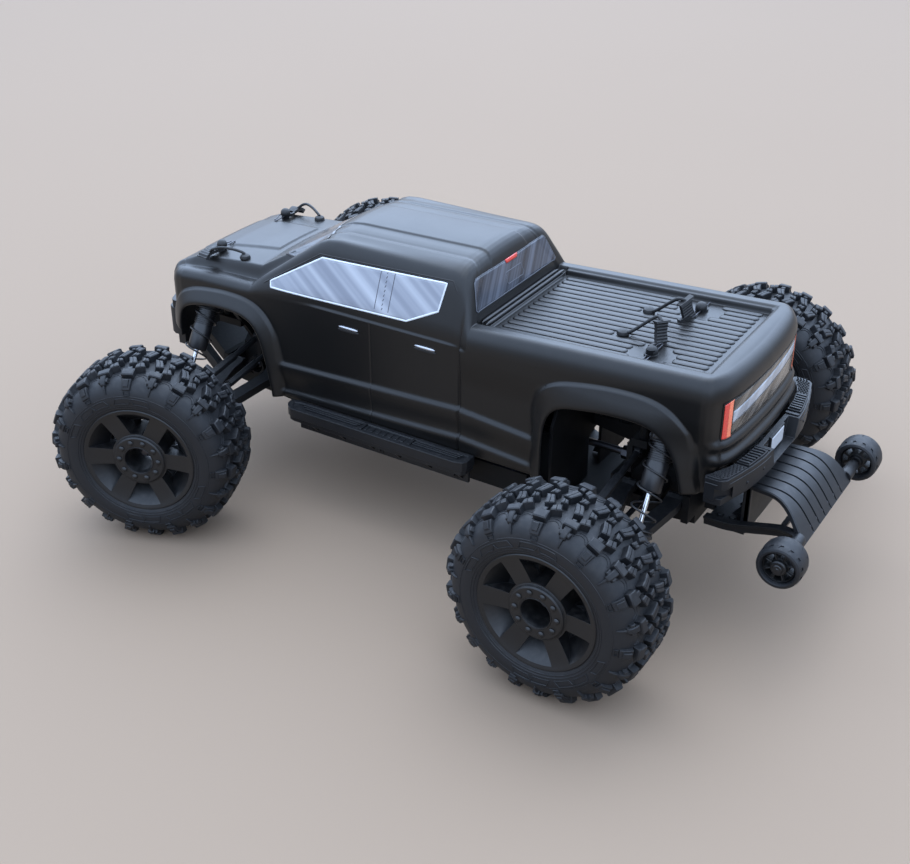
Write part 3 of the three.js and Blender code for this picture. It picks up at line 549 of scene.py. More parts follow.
def station_line(point, edge, inner, low_z, tail):
    """One line of the body surface: point is on the plan outline, edge is where the top begins."""
    px, py = point
    qx, qy = edge
    run = math.hypot(px - qx, py - qy)
    nx, ny = (px - qx) / run, (py - qy) / run
    is_hood = px > HOOD_FROM
    share = cab_share(px)
    q_top = float(top_height(qx, qy))
    rise = (8.5 + 6 * max(nx, 0)) if is_hood else (18.0 - 2.5 * tail)
    shoulder = (q_top - rise) * (1 - share) + BELT_Z * share
    z = np.linspace(low_z, shoulder, WALL_ROWS)
    off = wall_offset(np.full_like(z, px), z, tail)
    wall = np.stack([px + nx * off, py + ny * off, z], axis=1)
    angle = np.linspace(0, math.pi / 2, SHOULDER_ROWS + 1)[1:]
    inward = run * (1 - np.cos(angle))
    z2 = shoulder + (q_top - shoulder) * np.sin(angle)
    off2 = wall_offset(np.full_like(z2, px), z2, tail) * (1 - inward / run)
    bend = np.stack([px + nx * (off2 - inward), py + ny * (off2 - inward), z2], axis=1)
    start = np.array([qx, qy])
    end = np.array(inner, float)
    if -262 < px < -50 or tail > 0:
        outer, inner_cut = recess_cut(start, end, 0.0), recess_cut(start, end, 1.6)
    else:
        outer, inner_cut = FLAT_SHARE, FLAT_SHARE + 0.04
    shares = np.concatenate([
        np.linspace(0, outer, EDGE_ROWS + 1)[1:],
        np.linspace(outer, inner_cut, STEP_ROWS + 1)[1:],
        np.linspace(inner_cut, 1, PANEL_ROWS + 1)[1:],
    ])
    plan = start + (end - start) * shares[:, None]
    z3 = top_height(plan[:, 0], plan[:, 1])
    if not is_hood:
        step = smooth(0, 1, np.linspace(0, 1, STEP_ROWS + 1)[1:])
        z3 = z3 - np.concatenate([np.zeros(EDGE_ROWS), step, np.ones(PANEL_ROWS)]) * recess_depth(plan[:, 0])
    top = np.stack([plan[:, 0], plan[:, 1], z3], axis=1)
    line = np.concatenate([wall, bend, top])
    if share > 0:
        yz = cab_section(px)
        cab = np.stack([np.full(len(yz), px), yz[:, 0], yz[:, 1]], axis=1)
        line[WALL_ROWS:] = line[WALL_ROWS:] * (1 - share) + cab * share
    line[-1, 1] = 0
    return line


def straight_stations():
    """Where the lines stand along the straight side: close together at the arches, seams and glass."""
    marks = [TAIL_FROM, -239.6, -238, -236.6, -235.6, -235.1, -234.9, -234.4, -233.4, -232.4, -231.4, -200,
             -128, -126, -125, -124.3, -123.6, -123, -122.6, -122.3, -122.0, -121.8, -121.5, -121.2, -120,
             -119,
             -62, -61.2, -60.6, -60, -59.4, -58, -52.6, CAB_BACK, -28, -20, 84, 106, 134, 137.4, 138.2, 138.5,
             139, 139.6, 140.4, 141.2, 142, 143, CAB_FRONT, 166, 200, 229, 231, 232, 232.8, 233.6, 234.2,
             234.7, 235.1, 235.4, 236.4, NOSE_FROM]
    marks += list(np.arange(-240, -200, 2.0)) + list(np.arange(-52, -28, 0.8)) + list(np.arange(36.5, 42,
                                                                                                0.5))
    marks += list(np.arange(-200, -110, 2.4)) + list(np.arange(-110, -62, 3)) + list(np.arange(-28, 84, 3.2))
    marks += list(np.arange(84, 164, 2.0)) + list(np.arange(139, 238, 2.2)) + list(np.arange(164, 172, 0.8))
    xs = sorted(set(round(float(m), 2) for m in marks))
    kept = [xs[0]]
    for x in xs[1:]:
        if x - kept[-1] > 0.18:
            kept.append(x)
    return kept


def body_surface():
    """The lines of the left half, from the middle of the tail round the side to the middle of the nose."""
    lines = []
    tail_plan = spline([(-264.2, 0), (-263.6, 24), (-262.2, 46), (-260, 61), (-256.8, 69.5), (-251, 76),
                        (-243, 79)], 9)
    tail_edge = spline([(-253.2, 0), (-252.6, 23), (-251.4, 43), (-250, 57), (-248, 64.2), (-246, 69.2),
                        (-243, 72)], 9)
    nose_plan = spline([(238, 79), (246.5, 77), (253, 71.5), (257.5, 63), (260.3, 48), (262, 26), (262.8, 0)],
                       9)
    nose_edge = spline([(238, 70), (242, 69), (245.5, 65), (248.5, 57.5), (251, 45), (252.8, 25), (253.8, 0)],
                       9)
    for p, q in zip(tail_plan[:-1], tail_edge[:-1]):
        facing = (q[0] - p[0]) / math.hypot(p[0] - q[0], p[1] - q[1])
        turn = float(smooth(0.30, 0.97, facing))
        low = TAIL_LOW_Z + 20.5 * float(smooth(74, 69, p[1]))
        lines.append(station_line(p, q, (-POLE, 0.0), low, turn))
    for x in straight_stations():
        inner_x = x
        if x < -PINCH:
            inner_x = -PINCH + (x + PINCH) * ((POLE - PINCH) / (-TAIL_FROM - PINCH))
        if x > PINCH:
            inner_x = PINCH + (x - PINCH) * ((POLE - PINCH) / (NOSE_FROM - PINCH))
        edge_y = BODY_HALF - (9.0 if x > HOOD_FROM else 7.0)
        lines.append(station_line((x, BODY_HALF), (x, edge_y), (inner_x, 0), bottom_z(x), 0.0))
    for p, q in zip(nose_plan[1:], nose_edge[1:]):
        lines.append(station_line(p, q, (POLE, 0.0), bottom_z(p[0]), 0.0))
    return np.array(lines)


def body_shell():
    """Makes the painted shell, and returns a tree of its faces to lay films and lines on."""
    half = body_surface()
    stations, rows = half.shape[:2]
    shape = Shape()
    shape.add(half.reshape(-1, 3), grid_faces(stations, rows))
    shape.add((half * np.array([1, -1, 1])).reshape(-1, 3), [f[::-1] for f in grid_faces(stations, rows)])
    mesh = bpy.data.meshes.new("body_paint")
    mesh.from_pydata([tuple(TO_ROW @ Vector(v)) for v in shape.verts], [], shape.faces)
    bm = bmesh.new()
    bm.from_mesh(mesh)
    bmesh.ops.remove_doubles(bm, verts=bm.verts, dist=2e-5)
    bmesh.ops.dissolve_degenerate(bm, dist=1e-5, edges=bm.edges)
    bmesh.ops.recalc_face_normals(bm, faces=bm.faces)
    bm.normal_update()
    roof = max(bm.faces, key=lambda f: f.calc_center_median().z)
    if roof.normal.z < 0:
        bmesh.ops.reverse_faces(bm, faces=bm.faces)
    bm.to_mesh(mesh)
    tree = BVHTree.FromBMesh(bm)
    bm.free()
    obj = bpy.data.objects.new("body_paint", mesh)
    bpy.context.scene.collection.objects.link(obj)
    mesh.materials.append(PAINT)
    mesh.materials.append(INSIDE)
    mesh.shade_smooth()
    thick = obj.modifiers.new("wall", "SOLIDIFY")
    thick.thickness = SHELL_THICKNESS * MM
    thick.offset = -1
    thick.material_offset = 1
    thick.material_offset_rim = 0
    thick.use_rim = True
    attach(obj, "chassis")
    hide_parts("body_shell")
    return tree


shell_tree = body_shell()


def on_shell(origin, direction, lift=0.25):
    """The point of the shell hit from outside, lifted off it, and its normal, in truck millimetres."""
    start = TO_ROW @ Vector(origin)
    hit, normal = shell_tree.ray_cast(start, Vector(direction).normalized())[:2]
    if normal.dot(Vector(direction)) > 0:
        normal = -normal
    point = hit + normal * lift * MM
    return TO_ROW.inverted() @ point, normal


def film(name, low_line, high_line, project, direction, mat, columns=60, rows=14, lift=0.25):
    """A thin sheet on the shell between two lines of (u, z); project turns (u, z) into a ray's start."""
    low, high = resample(low_line, columns), resample(high_line, columns)
    verts = []
    for j in range(rows):
        t = j / (rows - 1)
        for i in range(columns):
            u, z = low[i] * (1 - t) + high[i] * t
            verts.append(tuple(on_shell(project(u, z), direction, lift)[0]))
    obj = make(name, Shape().add(verts, grid_faces(rows, columns)), mat, "chassis", 60)
    thick = obj.modifiers.new("film", "SOLIDIFY")
    thick.thickness = FILM_THICKNESS * MM
    thick.offset = 0


def outline(name, points, project, direction, mat, radius=0.8, lift=0.3, flat=0.45, closed=True):
    """A raised line along a path on the shell."""
    dense = []
    count = len(points) if closed else len(points) - 1
    for i in range(count):
        a, b = np.array(points[i], float), np.array(points[(i + 1) % len(points)], float)
        steps = max(2, int(np.linalg.norm(b - a) / 3))
        dense += [a + (b - a) * k / steps for k in range(steps)]
    if not closed:
        dense.append(np.array(points[-1], float))
    hits = [on_shell(project(u, z), direction, lift) for u, z in dense]
    shape = sweep([point for point, _ in hits], circle(radius, 8, flat), closed, up=hits[0][1])
    make(name, shape, mat, "chassis", 60)


def start_at_x(x):
    """Turns (y, z) into the start of a ray along x."""
    return lambda y, z: (x, y, z)


def start_beside(flip):
    """Turns (x, z) into the start of a ray across the truck, from its left (1) or right (-1)."""
    return lambda x, z: (x, flip * 140, z)


# Side windows: (x, z) on the side of the cab
GLASS_LOW = [(141, 186), (139.5, 181.5), (5, 185), (-22, 198)]
GLASS_HIGH = [(141, 186), (92, 214.5), (-25, 219), (-22, 198)]
for side, flip in SIDES:
    start, toward = start_beside(flip), (0, -flip, 0)
    # the side window's streaked grey-blue film is painted reflection
    film(f"side_window_{side}", GLASS_LOW, GLASS_HIGH, start, toward, SIDE_FILM, 90, 18)
    outline(f"side_window_outline_{side}", GLASS_HIGH + GLASS_LOW[-2:0:-1], start, toward, TRIM_WHITE, 0.75,
            0.35)


# ---- Wheels: a tyre and a rim in their own frame, y outboard, put on all four corners ----
TYRE_HALF = np.array([(71.7, 0), (71.7, 4), (71.7, 8), (71.6, 12), (71.4, 16), (71.1, 20), (70.2, 24),
                      (68.6, 27.2),
                      (66.2, 29.8), (63.2, 31.7), (60, 32.9), (57, 33.5), (54, 33.6), (51, 33.2),
                      (48.6, 32.6), (46.6, 31.6)], float)
TYRE_ARC = np.concatenate([[0], np.cumsum(np.linalg.norm(np.diff(TYRE_HALF, axis=0), axis=1))])
PITCHES = 22
TREAD_RADIUS = 73.9
PITCH = 2 * math.pi * TREAD_RADIUS / PITCHES
LUG_STEP = 2.2  # how closely a block follows the carcass

# Tread blocks of one pitch of one half: two edge lines of (s, u), and how the block differs from a plain one
MIDDLE_BLOCKS = [
    ([(0.9, 1.4), (3.2, 7), (4.6, 12.0)], [(6.2, 0.8), (8.6, 5.4), (10.2, 9.6)], {"slit": 1.3}),
    ([(10.8, 12.4), (11.6, 17.4)], [(15.6, 8.8), (18.4, 14.4)], {"slit": 1.3}),
    ([(12.2, 1.2), (13.4, 6.8)], [(16.9, 2.2), (17.8, 5.6)], {"slit": 1.2}),
]
ODD_BLOCKS = [
    ([(2.6, 19.2), (2.9, 24.6)], [(12.2, 18.4), (12.6, 24.6)], {}),
    ([(3.4, 26.2), (3.7, 34.4)], [(11.8, 26.2), (11.3, 34.4)], {"share": 0.55, "chamfer": 0.4}),
    ([(5.2, 27.4), (5.4, 32.2)], [(10.0, 27.4), (9.8, 32.2)], {"share": 0.8, "chamfer": 0.4}),
    ([(5.6, 15.2), (5.4, 18.6)], [(8.8, 14.6), (9.0, 18.6)], {"share": 0.8, "chamfer": 0.5}),
]
EVEN_BLOCKS = [
    ([(2.6, 18.2), (3.2, 23.0)], [(12.6, 17.2), (13.0, 22.4)], {}),
    ([(5.2, 22.4), (5.6, 30.0)], [(10.2, 22.2), (9.8, 30.0)], {"share": 0.75}),
    ([(3.4, 25.0), (3.6, 28.0)], [(12.0, 25.0), (11.8, 28.0)], {"share": 0.6, "chamfer": 0.5}),
    ([(6.9, 29.6), (7.3, 36.5)], [(8.7, 29.6), (8.4, 36.5)], {"share": 0.5, "chamfer": 0.3}),
    ([(6.2, 15.4), (6.0, 18.8)], [(9.0, 14.8), (9.4, 18.4)], {"share": 0.8, "chamfer": 0.5}),
]
FRAME_ON_BLOCK = [(4.6, 35.6), (10.6, 35.6), (10.4, 38.2), (5.0, 38.2)]


def tyre_point(s, u, height):
    """A point on the tyre: s round the tread, u across it from the crown, height off the carcass."""
    r, w = np.interp(abs(u), TYRE_ARC, TYRE_HALF[:, 0]), np.interp(abs(u), TYRE_ARC, TYRE_HALF[:, 1])
    step = 1.6
    r0, w0 = (np.interp(max(abs(u) - step, 0), TYRE_ARC, TYRE_HALF[:, k]) for k in (0, 1))
    r1, w1 = (np.interp(abs(u) + step, TYRE_ARC, TYRE_HALF[:, k]) for k in (0, 1))
    d = np.array([r1 - r0, w1 - w0]) / math.hypot(r1 - r0, w1 - w0)
    r, w = r + d[1] * height, w - d[0] * height
    a = s / TREAD_RADIUS
    return (r * math.cos(a), math.copysign(w, u), r * math.sin(a))


def tyre_normal(s, u):
    low, high = np.array(tyre_point(s, u, 0)), np.array(tyre_point(s, u, 1))
    return tuple(high - low)


def sidewall(r):
    """Half the tyre's width at radius r."""
    return np.interp(r, TYRE_HALF[::-1, 0], TYRE_HALF[::-1, 1])


def ring_points(radius, w, count):
    """Points of a circle about the y axis, w along it."""
    return [(radius * math.cos(t), w, radius * math.sin(t)) for t in np.linspace(0, 2 * math.pi,
                                                                                 count + 1)[:-1]]


def lug_height(u):
    return float(np.interp(abs(u), [0, 8, 16, 22, 27, 31, 35, 38, 42],
                           [5.8, 5.8, 5.8, 5.6, 5.1, 3.7, 2.3, 1.4, 1.0]))


def lug(shape, left, right, shift, half, slit=0.0, share=1.0, chamfer=0.7):
    """A tread block between two edge lines of (s, u), sunk into the carcass, its top edges chamfered."""
    length = max(np.linalg.norm(np.diff(np.array(left, float), axis=0), axis=1).sum(), 1)
    count = max(3, int(length / LUG_STEP) + 1)
    a, b = resample(left, count), resample(right, count)
    along = (a[-1] + b[-1] - a[0] - b[0]) / np.linalg.norm(a[-1] + b[-1] - a[0] - b[0])
    ends = [(a[0] - along * 0.6, b[0] - along * 0.6, "base"), (a[0], b[0], "edge"),
            (a[0] + along * chamfer, b[0] + along * chamfer, "top")]
    ends += [(a[i], b[i], "top") for i in range(1, count - 1)]
    ends += [(a[-1] - along * chamfer, b[-1] - along * chamfer, "top"), (a[-1], b[-1], "edge"),
             (a[-1] + along * 0.6, b[-1] + along * 0.6, "base")]
    verts = []
    for p, q, kind in ends:
        width = max(np.linalg.norm(q - p), 1e-3)
        d = (q - p) / width
        mid = (p + q) / 2
        c = min(chamfer, width * 0.3)
        row = [(p - d * 0.5, "base"), (p, "edge"), (p + d * c, "top")]
        if slit:
            row += [(mid - d * 0.24, "top"), (mid - d * 0.16, "slit"), (mid + d * 0.16, "slit"),
                    (mid + d * 0.24, "top")]
        row += [(q - d * c, "top"), (q, "edge"), (q + d * 0.5, "base")]
        for (s, u), level in row:
            high = lug_height(u) * share
            rise = {"base": -1.0, "edge": high - chamfer * 0.8, "top": high, "slit": high - slit}[level]
            if kind == "base":
                rise = -1.0
            elif kind == "edge":
                rise = min(rise, high - chamfer * 0.8)
            verts.append(tyre_point(s + shift, half * max(u, 0.4), rise))
    rows, n = len(ends), len(row)
    faces = grid_faces(rows, n, False, True) + [list(range(n)), list(range((rows - 1) * n, rows * n))[::-1]]
    shape.add(verts, faces if half > 0 else [f[::-1] for f in faces])


def tyre_shape():
    outer = TYRE_HALF[::-1]
    profile = [(r, w) for r, w in outer] + [(r, -w) for r, w in outer[::-1][1:]]
    profile = [(45.0, 29.8), (45.5, 31.0)] + profile + [(45.5, -31.0), (45.0, -29.8)]
    inside = [(46.5, -27), (54, -30.4), (63, -28), (67.5, -20), (68.4, 0), (67.5, 20), (63, 28), (54, 30.4),
              (46.5, 27)]
    shape = lathe(profile + inside, 132)
    for rib, out in ((58.6, 0.5), (50.2, 0.55), (48.4, 0.55)):
        for half in (1, -1):
            ring = ring_points(rib, half * (sidewall(rib) - 0.15), 96)
            shape.join(sweep(ring, circle(out, 6), True, up=(0, half, 0)))
    for half in (1, -1):
        for k in range(PITCHES):
            base = (k + (0.5 if half < 0 else 0)) * PITCH
            for left, right, options in MIDDLE_BLOCKS + (ODD_BLOCKS if k % 2 else EVEN_BLOCKS):
                lug(shape, left, right, base, half, **options)
            if k % 2:
                path = [tyre_point(s + base, half * u, 0.1) for s, u in FRAME_ON_BLOCK]
                shape.join(sweep(path, circle(0.5, 6, 1.6), True, up=tyre_normal(base + 7, half * 38)))
            for spread in (5.2, 7.4):
                arc = [tyre_point(base + 17.8 + spread * math.cos(t),
                                  half * (26.0 + spread * 1.05 * math.sin(t)), 0.0)
                       for t in np.linspace(-0.1 * math.pi, -0.9 * math.pi, 9)]
                shape.join(sweep(arc, circle(0.5, 6), up=tyre_normal(base + 17.8, half * 22)))
        # blank raised frames on the sidewall
        for group in range(2):
            for j in range(5):
                a0 = math.pi * group + 0.35 + j * 0.32
                slope = 0.05 if j % 2 else -0.05
                corners = [(a0, 52.2), (a0 + 0.24, 52.2), (a0 + 0.24 + slope, 56.9), (a0 + slope, 56.9)]
                path = []
                for i, (t, r) in enumerate(corners):
                    t1, r1 = corners[(i + 1) % 4]
                    for m in range(5):
                        tt, rr = t + (t1 - t) * m / 5, r + (r1 - r) * m / 5
                        path.append((rr * math.cos(tt), half * (sidewall(rr) + 0.1), rr * math.sin(tt)))
                shape.join(sweep(path, circle(0.5, 6), True, up=(0, half, 0)))
    return shape


def wedge(inner_r, outer_r, inner_angle, outer_angle, low, high, low_outer=None):
    """A sector-shaped cutter about angle 0, from low to high; its floor may slope from rim to hub."""
    columns = 8
    verts = []
    for w, r0, r1 in ((low, inner_r, low_outer or outer_r), (high, inner_r, outer_r)):
        for r, half in ((r0, inner_angle), (r1, outer_angle)):
            verts += [(r * math.cos(t), w, r * math.sin(t)) for t in np.linspace(-half, half, columns)]
    low_in, low_out, high_in, high_out = (list(range(i * columns, (i + 1) * columns)) for i in range(4))
    faces = []
    for a, b in ((low_in, low_out), (low_out, high_out), (high_out, high_in), (high_in, low_in)):
        faces += [[a[i], a[i + 1], b[i + 1], b[i]] for i in range(columns - 1)]
    for i in (0, columns - 1):
        faces.append([low_in[i], low_out[i], high_out[i], high_in[i]])
    return Shape().add(verts, faces)


def copies_round_y(shape, count, offset=0.0):
    turns = [2 * math.pi * (k + offset) / count for k in range(count)]
    return [Shape().join(shape, Matrix.Rotation(turn, 4, "Y")) for turn in turns]


def rim_shapes():
    profile = [(45.3, 32.0), (46.0, 31.4), (46.0, 30.4), (44.6, 29.0), (43.6, 26), (42.8, 20), (42.2, 14),
               (41.4, 8),
               (41.4, -16), (42.6, -24), (44.6, -29.0), (46.0, -30.4), (46.0, -32.0), (45.2, -33.4),
               (44.2, -33.4),
               (42.4, -31), (40.6, -26), (39.4, -18), (39.4, -6), (36, -2), (25, 4), (21, 6), (11.4, 6),
               (11.4, 24),
               (11.8, 30.2), (12.6, 31.4), (19.8, 31.4), (20.9, 30.6), (21.3, 29.2), (22.2, 28.7), (30, 29.2),
               (38, 30.2), (43.4, 31.5), (44.6, 32.0)]
    disc = lathe(profile, 96)
    pocket = wedge(22.9, 42.4, math.radians(13), math.radians(19.5), 16.5, 31.6, low_outer=30.0)
    hole = wedge(22.9, 29.6, math.radians(13), math.radians(13), -20, 17)
    pairs = zip(copies_round_y(pocket, 6, 0.5), copies_round_y(hole, 6, 0.5))
    cutters = [cutter for pair in pairs for cutter in pair]
    rim = carve(disc, cutters)
    extras = Shape()
    for c, s in spokes(10):
        at = (16.2 * c, 31.1, 16.2 * s)
        extras.join(rod(at, (at[0], 32.6, at[2]), 2.4, 18, 0.7))
        extras.join(dome((at[0], 32.55, at[2]), 1.6, 0.5, (0, 1, 0), 14, 3))
    for radius, w in ((21.2, 29.2), (11.9, 31.1)):
        ring = ring_points(radius, w, 64)
        extras.join(sweep(ring, circle(0.5, 8), True, up=(0, 1, 0)))
    hexagon = [(x, z) for x, _, z in ring_points(7.6, 0, 6)]
    nut = lathe([(3.1, 5.5), (9.6, 5.5), (9.6, 7.0), (8.6, 7.6), (3.1, 7.6)], 36)
    nut.join(prism(hexagon, 7.4, 13.0, "y"))
    nut.join(rod((0, 12, 0), (0, 18.5, 0), 3.0, 20, 0.6))
    return rim, extras, nut


def facing_out(x, y, z, sign, turn=0.0):
    """Stands a shape whose y is outboard at a point of the left (1) or right (-1) side."""
    return Matrix.Translation((x, y * sign, z)) @ Matrix.Rotation(turn if sign > 0 else turn + math.pi, 4,
                                                                  "Z")


FRONT_WHEEL_X, FRONT_WHEEL_Y = {1: 180.77, -1: 209.23}, 189.23  # turned about kingpins 38 mm further in
REAR_WHEEL_Y = 192.0


def wheel_matrix(end, sign):
    if end == "rear":
        return facing_out(-WHEELBASE / 2, REAR_WHEEL_Y, AXLE_HEIGHT, sign)
    return facing_out(FRONT_WHEEL_X[sign], FRONT_WHEEL_Y, AXLE_HEIGHT, sign, STEER)


tyre, (rim, rim_extras, nut) = tyre_shape(), rim_shapes()
for end in ("front", "rear"):
    for side, sign in SIDES:
        place = wheel_matrix(end, sign)
        corner = f"{end}_{side}"
        make(f"tyre_{corner}_tread", tyre, RUBBER, f"wheel_{corner}", 27, matrix=place,
             replaces=f"tyre_{corner}")
        make(f"rim_{corner}_wheel", rim, WHEEL, f"wheel_{corner}", 30, bevel=0.5, matrix=place,
             replaces=f"rim_{corner}")
        make(f"rim_{corner}_bolts", rim_extras, WHEEL, f"wheel_{corner}", 35, matrix=place)
        make(f"rim_{corner}_nut", nut, DARK_STEEL, f"wheel_{corner}", 35, matrix=place)


# ---- Rear bumper ----
def mirror_plan(half):
    """A plan outline from its left half."""
    return half + [(x, -y) for x, y in reversed(half) if abs(y) > 1e-6]


def y_mirrored(shape):
    return Shape().join(shape, Matrix.Scale(-1, 4, (0, 1, 0)))


def both_sides(shape):
    return Shape().join(shape).join(y_mirrored(shape))


def plan_point(line, y):
    """The x of a bumper line at y."""
    ys, xs = [p[1] for p in line], [p[0] for p in line]
    return float(np.interp(y, ys, xs))


BUMPER_FACE = [(-281.5, 0), (-281.4, 28), (-280.4, 42), (-277.6, 58), (-274.0, 72), (-270.6, 84)]
DECK_Z = 136.0


def rear_bumper():
    outer = [(-281.5, 0), (-281.4, 28), (-280.4, 42), (-277.6, 58), (-274.0, 72), (-271.6, 81), (-270.2, 86),
             (-267.4, 88.8), (-263.4, 89.6), (-254.5, 89.4)]
    inner = [(-253.6, 86), (-257.5, 80.5), (-262.4, 73), (-265.6, 64), (-268.0, 50), (-269.4, 32),
             (-269.6, 0)]
    beam = prism(mirror_plan(outer + inner[:-1]), 117.5, DECK_Z - 1.4)
    low_outer = [(x + 2.6 * (1 if x < -268 else 0.2), max(y - (2.0 if y > 60 else 0), 0)) for x, y in outer]
    skirt = prism(mirror_plan(low_outer + inner[:-1]), 113.0, 118.5)
    recess = prism([(-30, 146), (30, 146), (21.5, 119.5), (-21.5, 119.5)], -290, -273.0, "x")
    notch = prism([(-16, 118.8), (16, 118.8), (18, 106), (-18, 106)], -290, -277, "x")
    cutters = [recess, notch]
    for sign in (1, -1):
        turn = Matrix.Translation((-268.4, 85.0 * sign, 0)) @ Matrix.Rotation(math.radians(-38 * sign), 4,
                                                                              "Z")
        cutters.append(Shape().join(block(-7, 3.6, -7.2, 7.2, 117.0, 127.0), turn))
    whole = Shape().join(carve(beam, cutters))
    whole.join(carve(skirt, [notch]))
    deck = Shape()

    def face_x(y):
        return plan_point(BUMPER_FACE, y) if y < 84 else -270.6 + (y - 84) * 1.1

    def back_x(y):
        return float(np.interp(y, [30, 50, 64, 73, 81, 88], [-269.2, -267.8, -265.2, -262.0, -257.6, -255.4]))

    # raised pads on the deck: a ribbed one nearer the middle, then a studded one at the corner
    for y0, y1, drop in ((33.5, 60.5, 0.0), (62.5, 88.2, 0.6)):
        ys = np.linspace(y0, y1, 12)
        front = [(face_x(y) + 1.3, y) for y in ys]
        back = [(back_x(y) - 0.3, y) for y in ys[::-1]]
        deck.join(prism(front + back, DECK_Z - 2.5, DECK_Z + 0.2 - drop))
    for y in np.arange(36.4, 60, 3.7):
        x0, x1 = face_x(y) + 2.2, back_x(y) - 1.0
        deck.join(block(x0, x1, y - 0.85, y + 0.85, DECK_Z - 1, DECK_Z + 1.4))
    for i, y in enumerate(np.arange(64.6, 87.5, 2.2)):
        for x in np.arange(face_x(y) + 2.4 + (i % 2) * 1.2, back_x(y) - 1.2, 2.4):
            low, high = DECK_Z - 1.2, DECK_Z + 1.0
            deck.add([(x - 1.15, y, low), (x, y - 1.05, low), (x + 1.15, y, low), (x, y + 1.05, low),
                      (x - 0.3, y, high), (x, y - 0.3, high), (x + 0.3, y, high), (x, y + 0.3, high)],
                     [[3, 2, 1, 0], [4, 5, 6, 7], [0, 1, 5, 4], [1, 2, 6, 5], [2, 3, 7, 6], [3, 0, 4, 7]])
    # slim line round the face under the deck, and two small dimples a side
    line = [(face_x(y) - 0.05, y, DECK_Z - 5.4) for y in np.linspace(31, 86, 18)]
    line += [(-263.4, 89.6, DECK_Z - 5.4), (-255, 89.4, DECK_Z - 5.4)]
    deck.join(sweep(line, circle(0.6, 6)))
    for y, z in ((41, 125), (62, 123)):
        deck.join(dome((face_x(y) + 0.1, y, z), 1.4, 0.8, (-1, 0.1, 0), 12, 3))
    whole.join(both_sides(deck))
    for sign in (1, -1):
        whole.join(prism([(-279.6, 28.6 * sign), (-269.2, 28.6 * sign), (-269.2, 31.6 * sign),
                          (-280.2, 31.6 * sign)], DECK_Z - 3, DECK_Z - 0.4))
        for z in (122.5, 126.0, 129.5):
            whole.join(block(-273.6, -272.4, min(15.6 * sign, 19 * sign), max(15.6 * sign, 19 * sign), z,
                             z + 1.7))
    whole.join(block(-264, -229.5, -22, 22, 98, 110)).join(block(-273, -240, -22, 22, 106, 114.5))
    for y in (-17, 17):
        whole.join(prism([(-264, 98.5), (-236, 98.5), (-236, 84)], y - 1.6, y + 1.6, "y"))
    whole.join(block(-238, -229.5, -16, 16, 60, 100))
    make("rear_bumper_moulding", whole, PLASTIC, "chassis", 30, bevel=0.7, replaces="rear_bumper")
    plate = block(-12, 12, 121.6, 133.6, -275.2, -273.3, "x")
    make("number_plate_blank", plate, PLATE, "chassis", 30, bevel=0.5)
    surround = carve(block(-13.8, 13.8, 119.9, 135.2, -274.8, -272.6, "x"),
                     [block(-12.2, 12.2, 121.4, 133.8, -277, -273.7, "x")])
    make("number_plate_surround", surround, PLASTIC, "chassis", 30, bevel=0.3)


rear_bumper()


# ---- Wheelie bar and its two wheels ----
WHEELIE_X, WHEELIE_Z, WHEELIE_Y = -316.0, 81.5, 84.4
PLATE_LINE = spline([(-264, 105.4), (-274, 105.4), (-286, 105.2), (-294, 104.4), (-301, 101.8), (-307, 97.4),
                     (-312, 91.6), (-316.6, 85.2), (-321.0, 78.4)], 6)
PLATE_EDGE = [(-264, 36.5), (-277, 38), (-287, 39), (-296, 41.5), (-304, 45), (-313, 49.5), (-321, 53)]
GROOVES = (-31.4, -18.8, -6.3, 6.3, 18.8, 31.4)


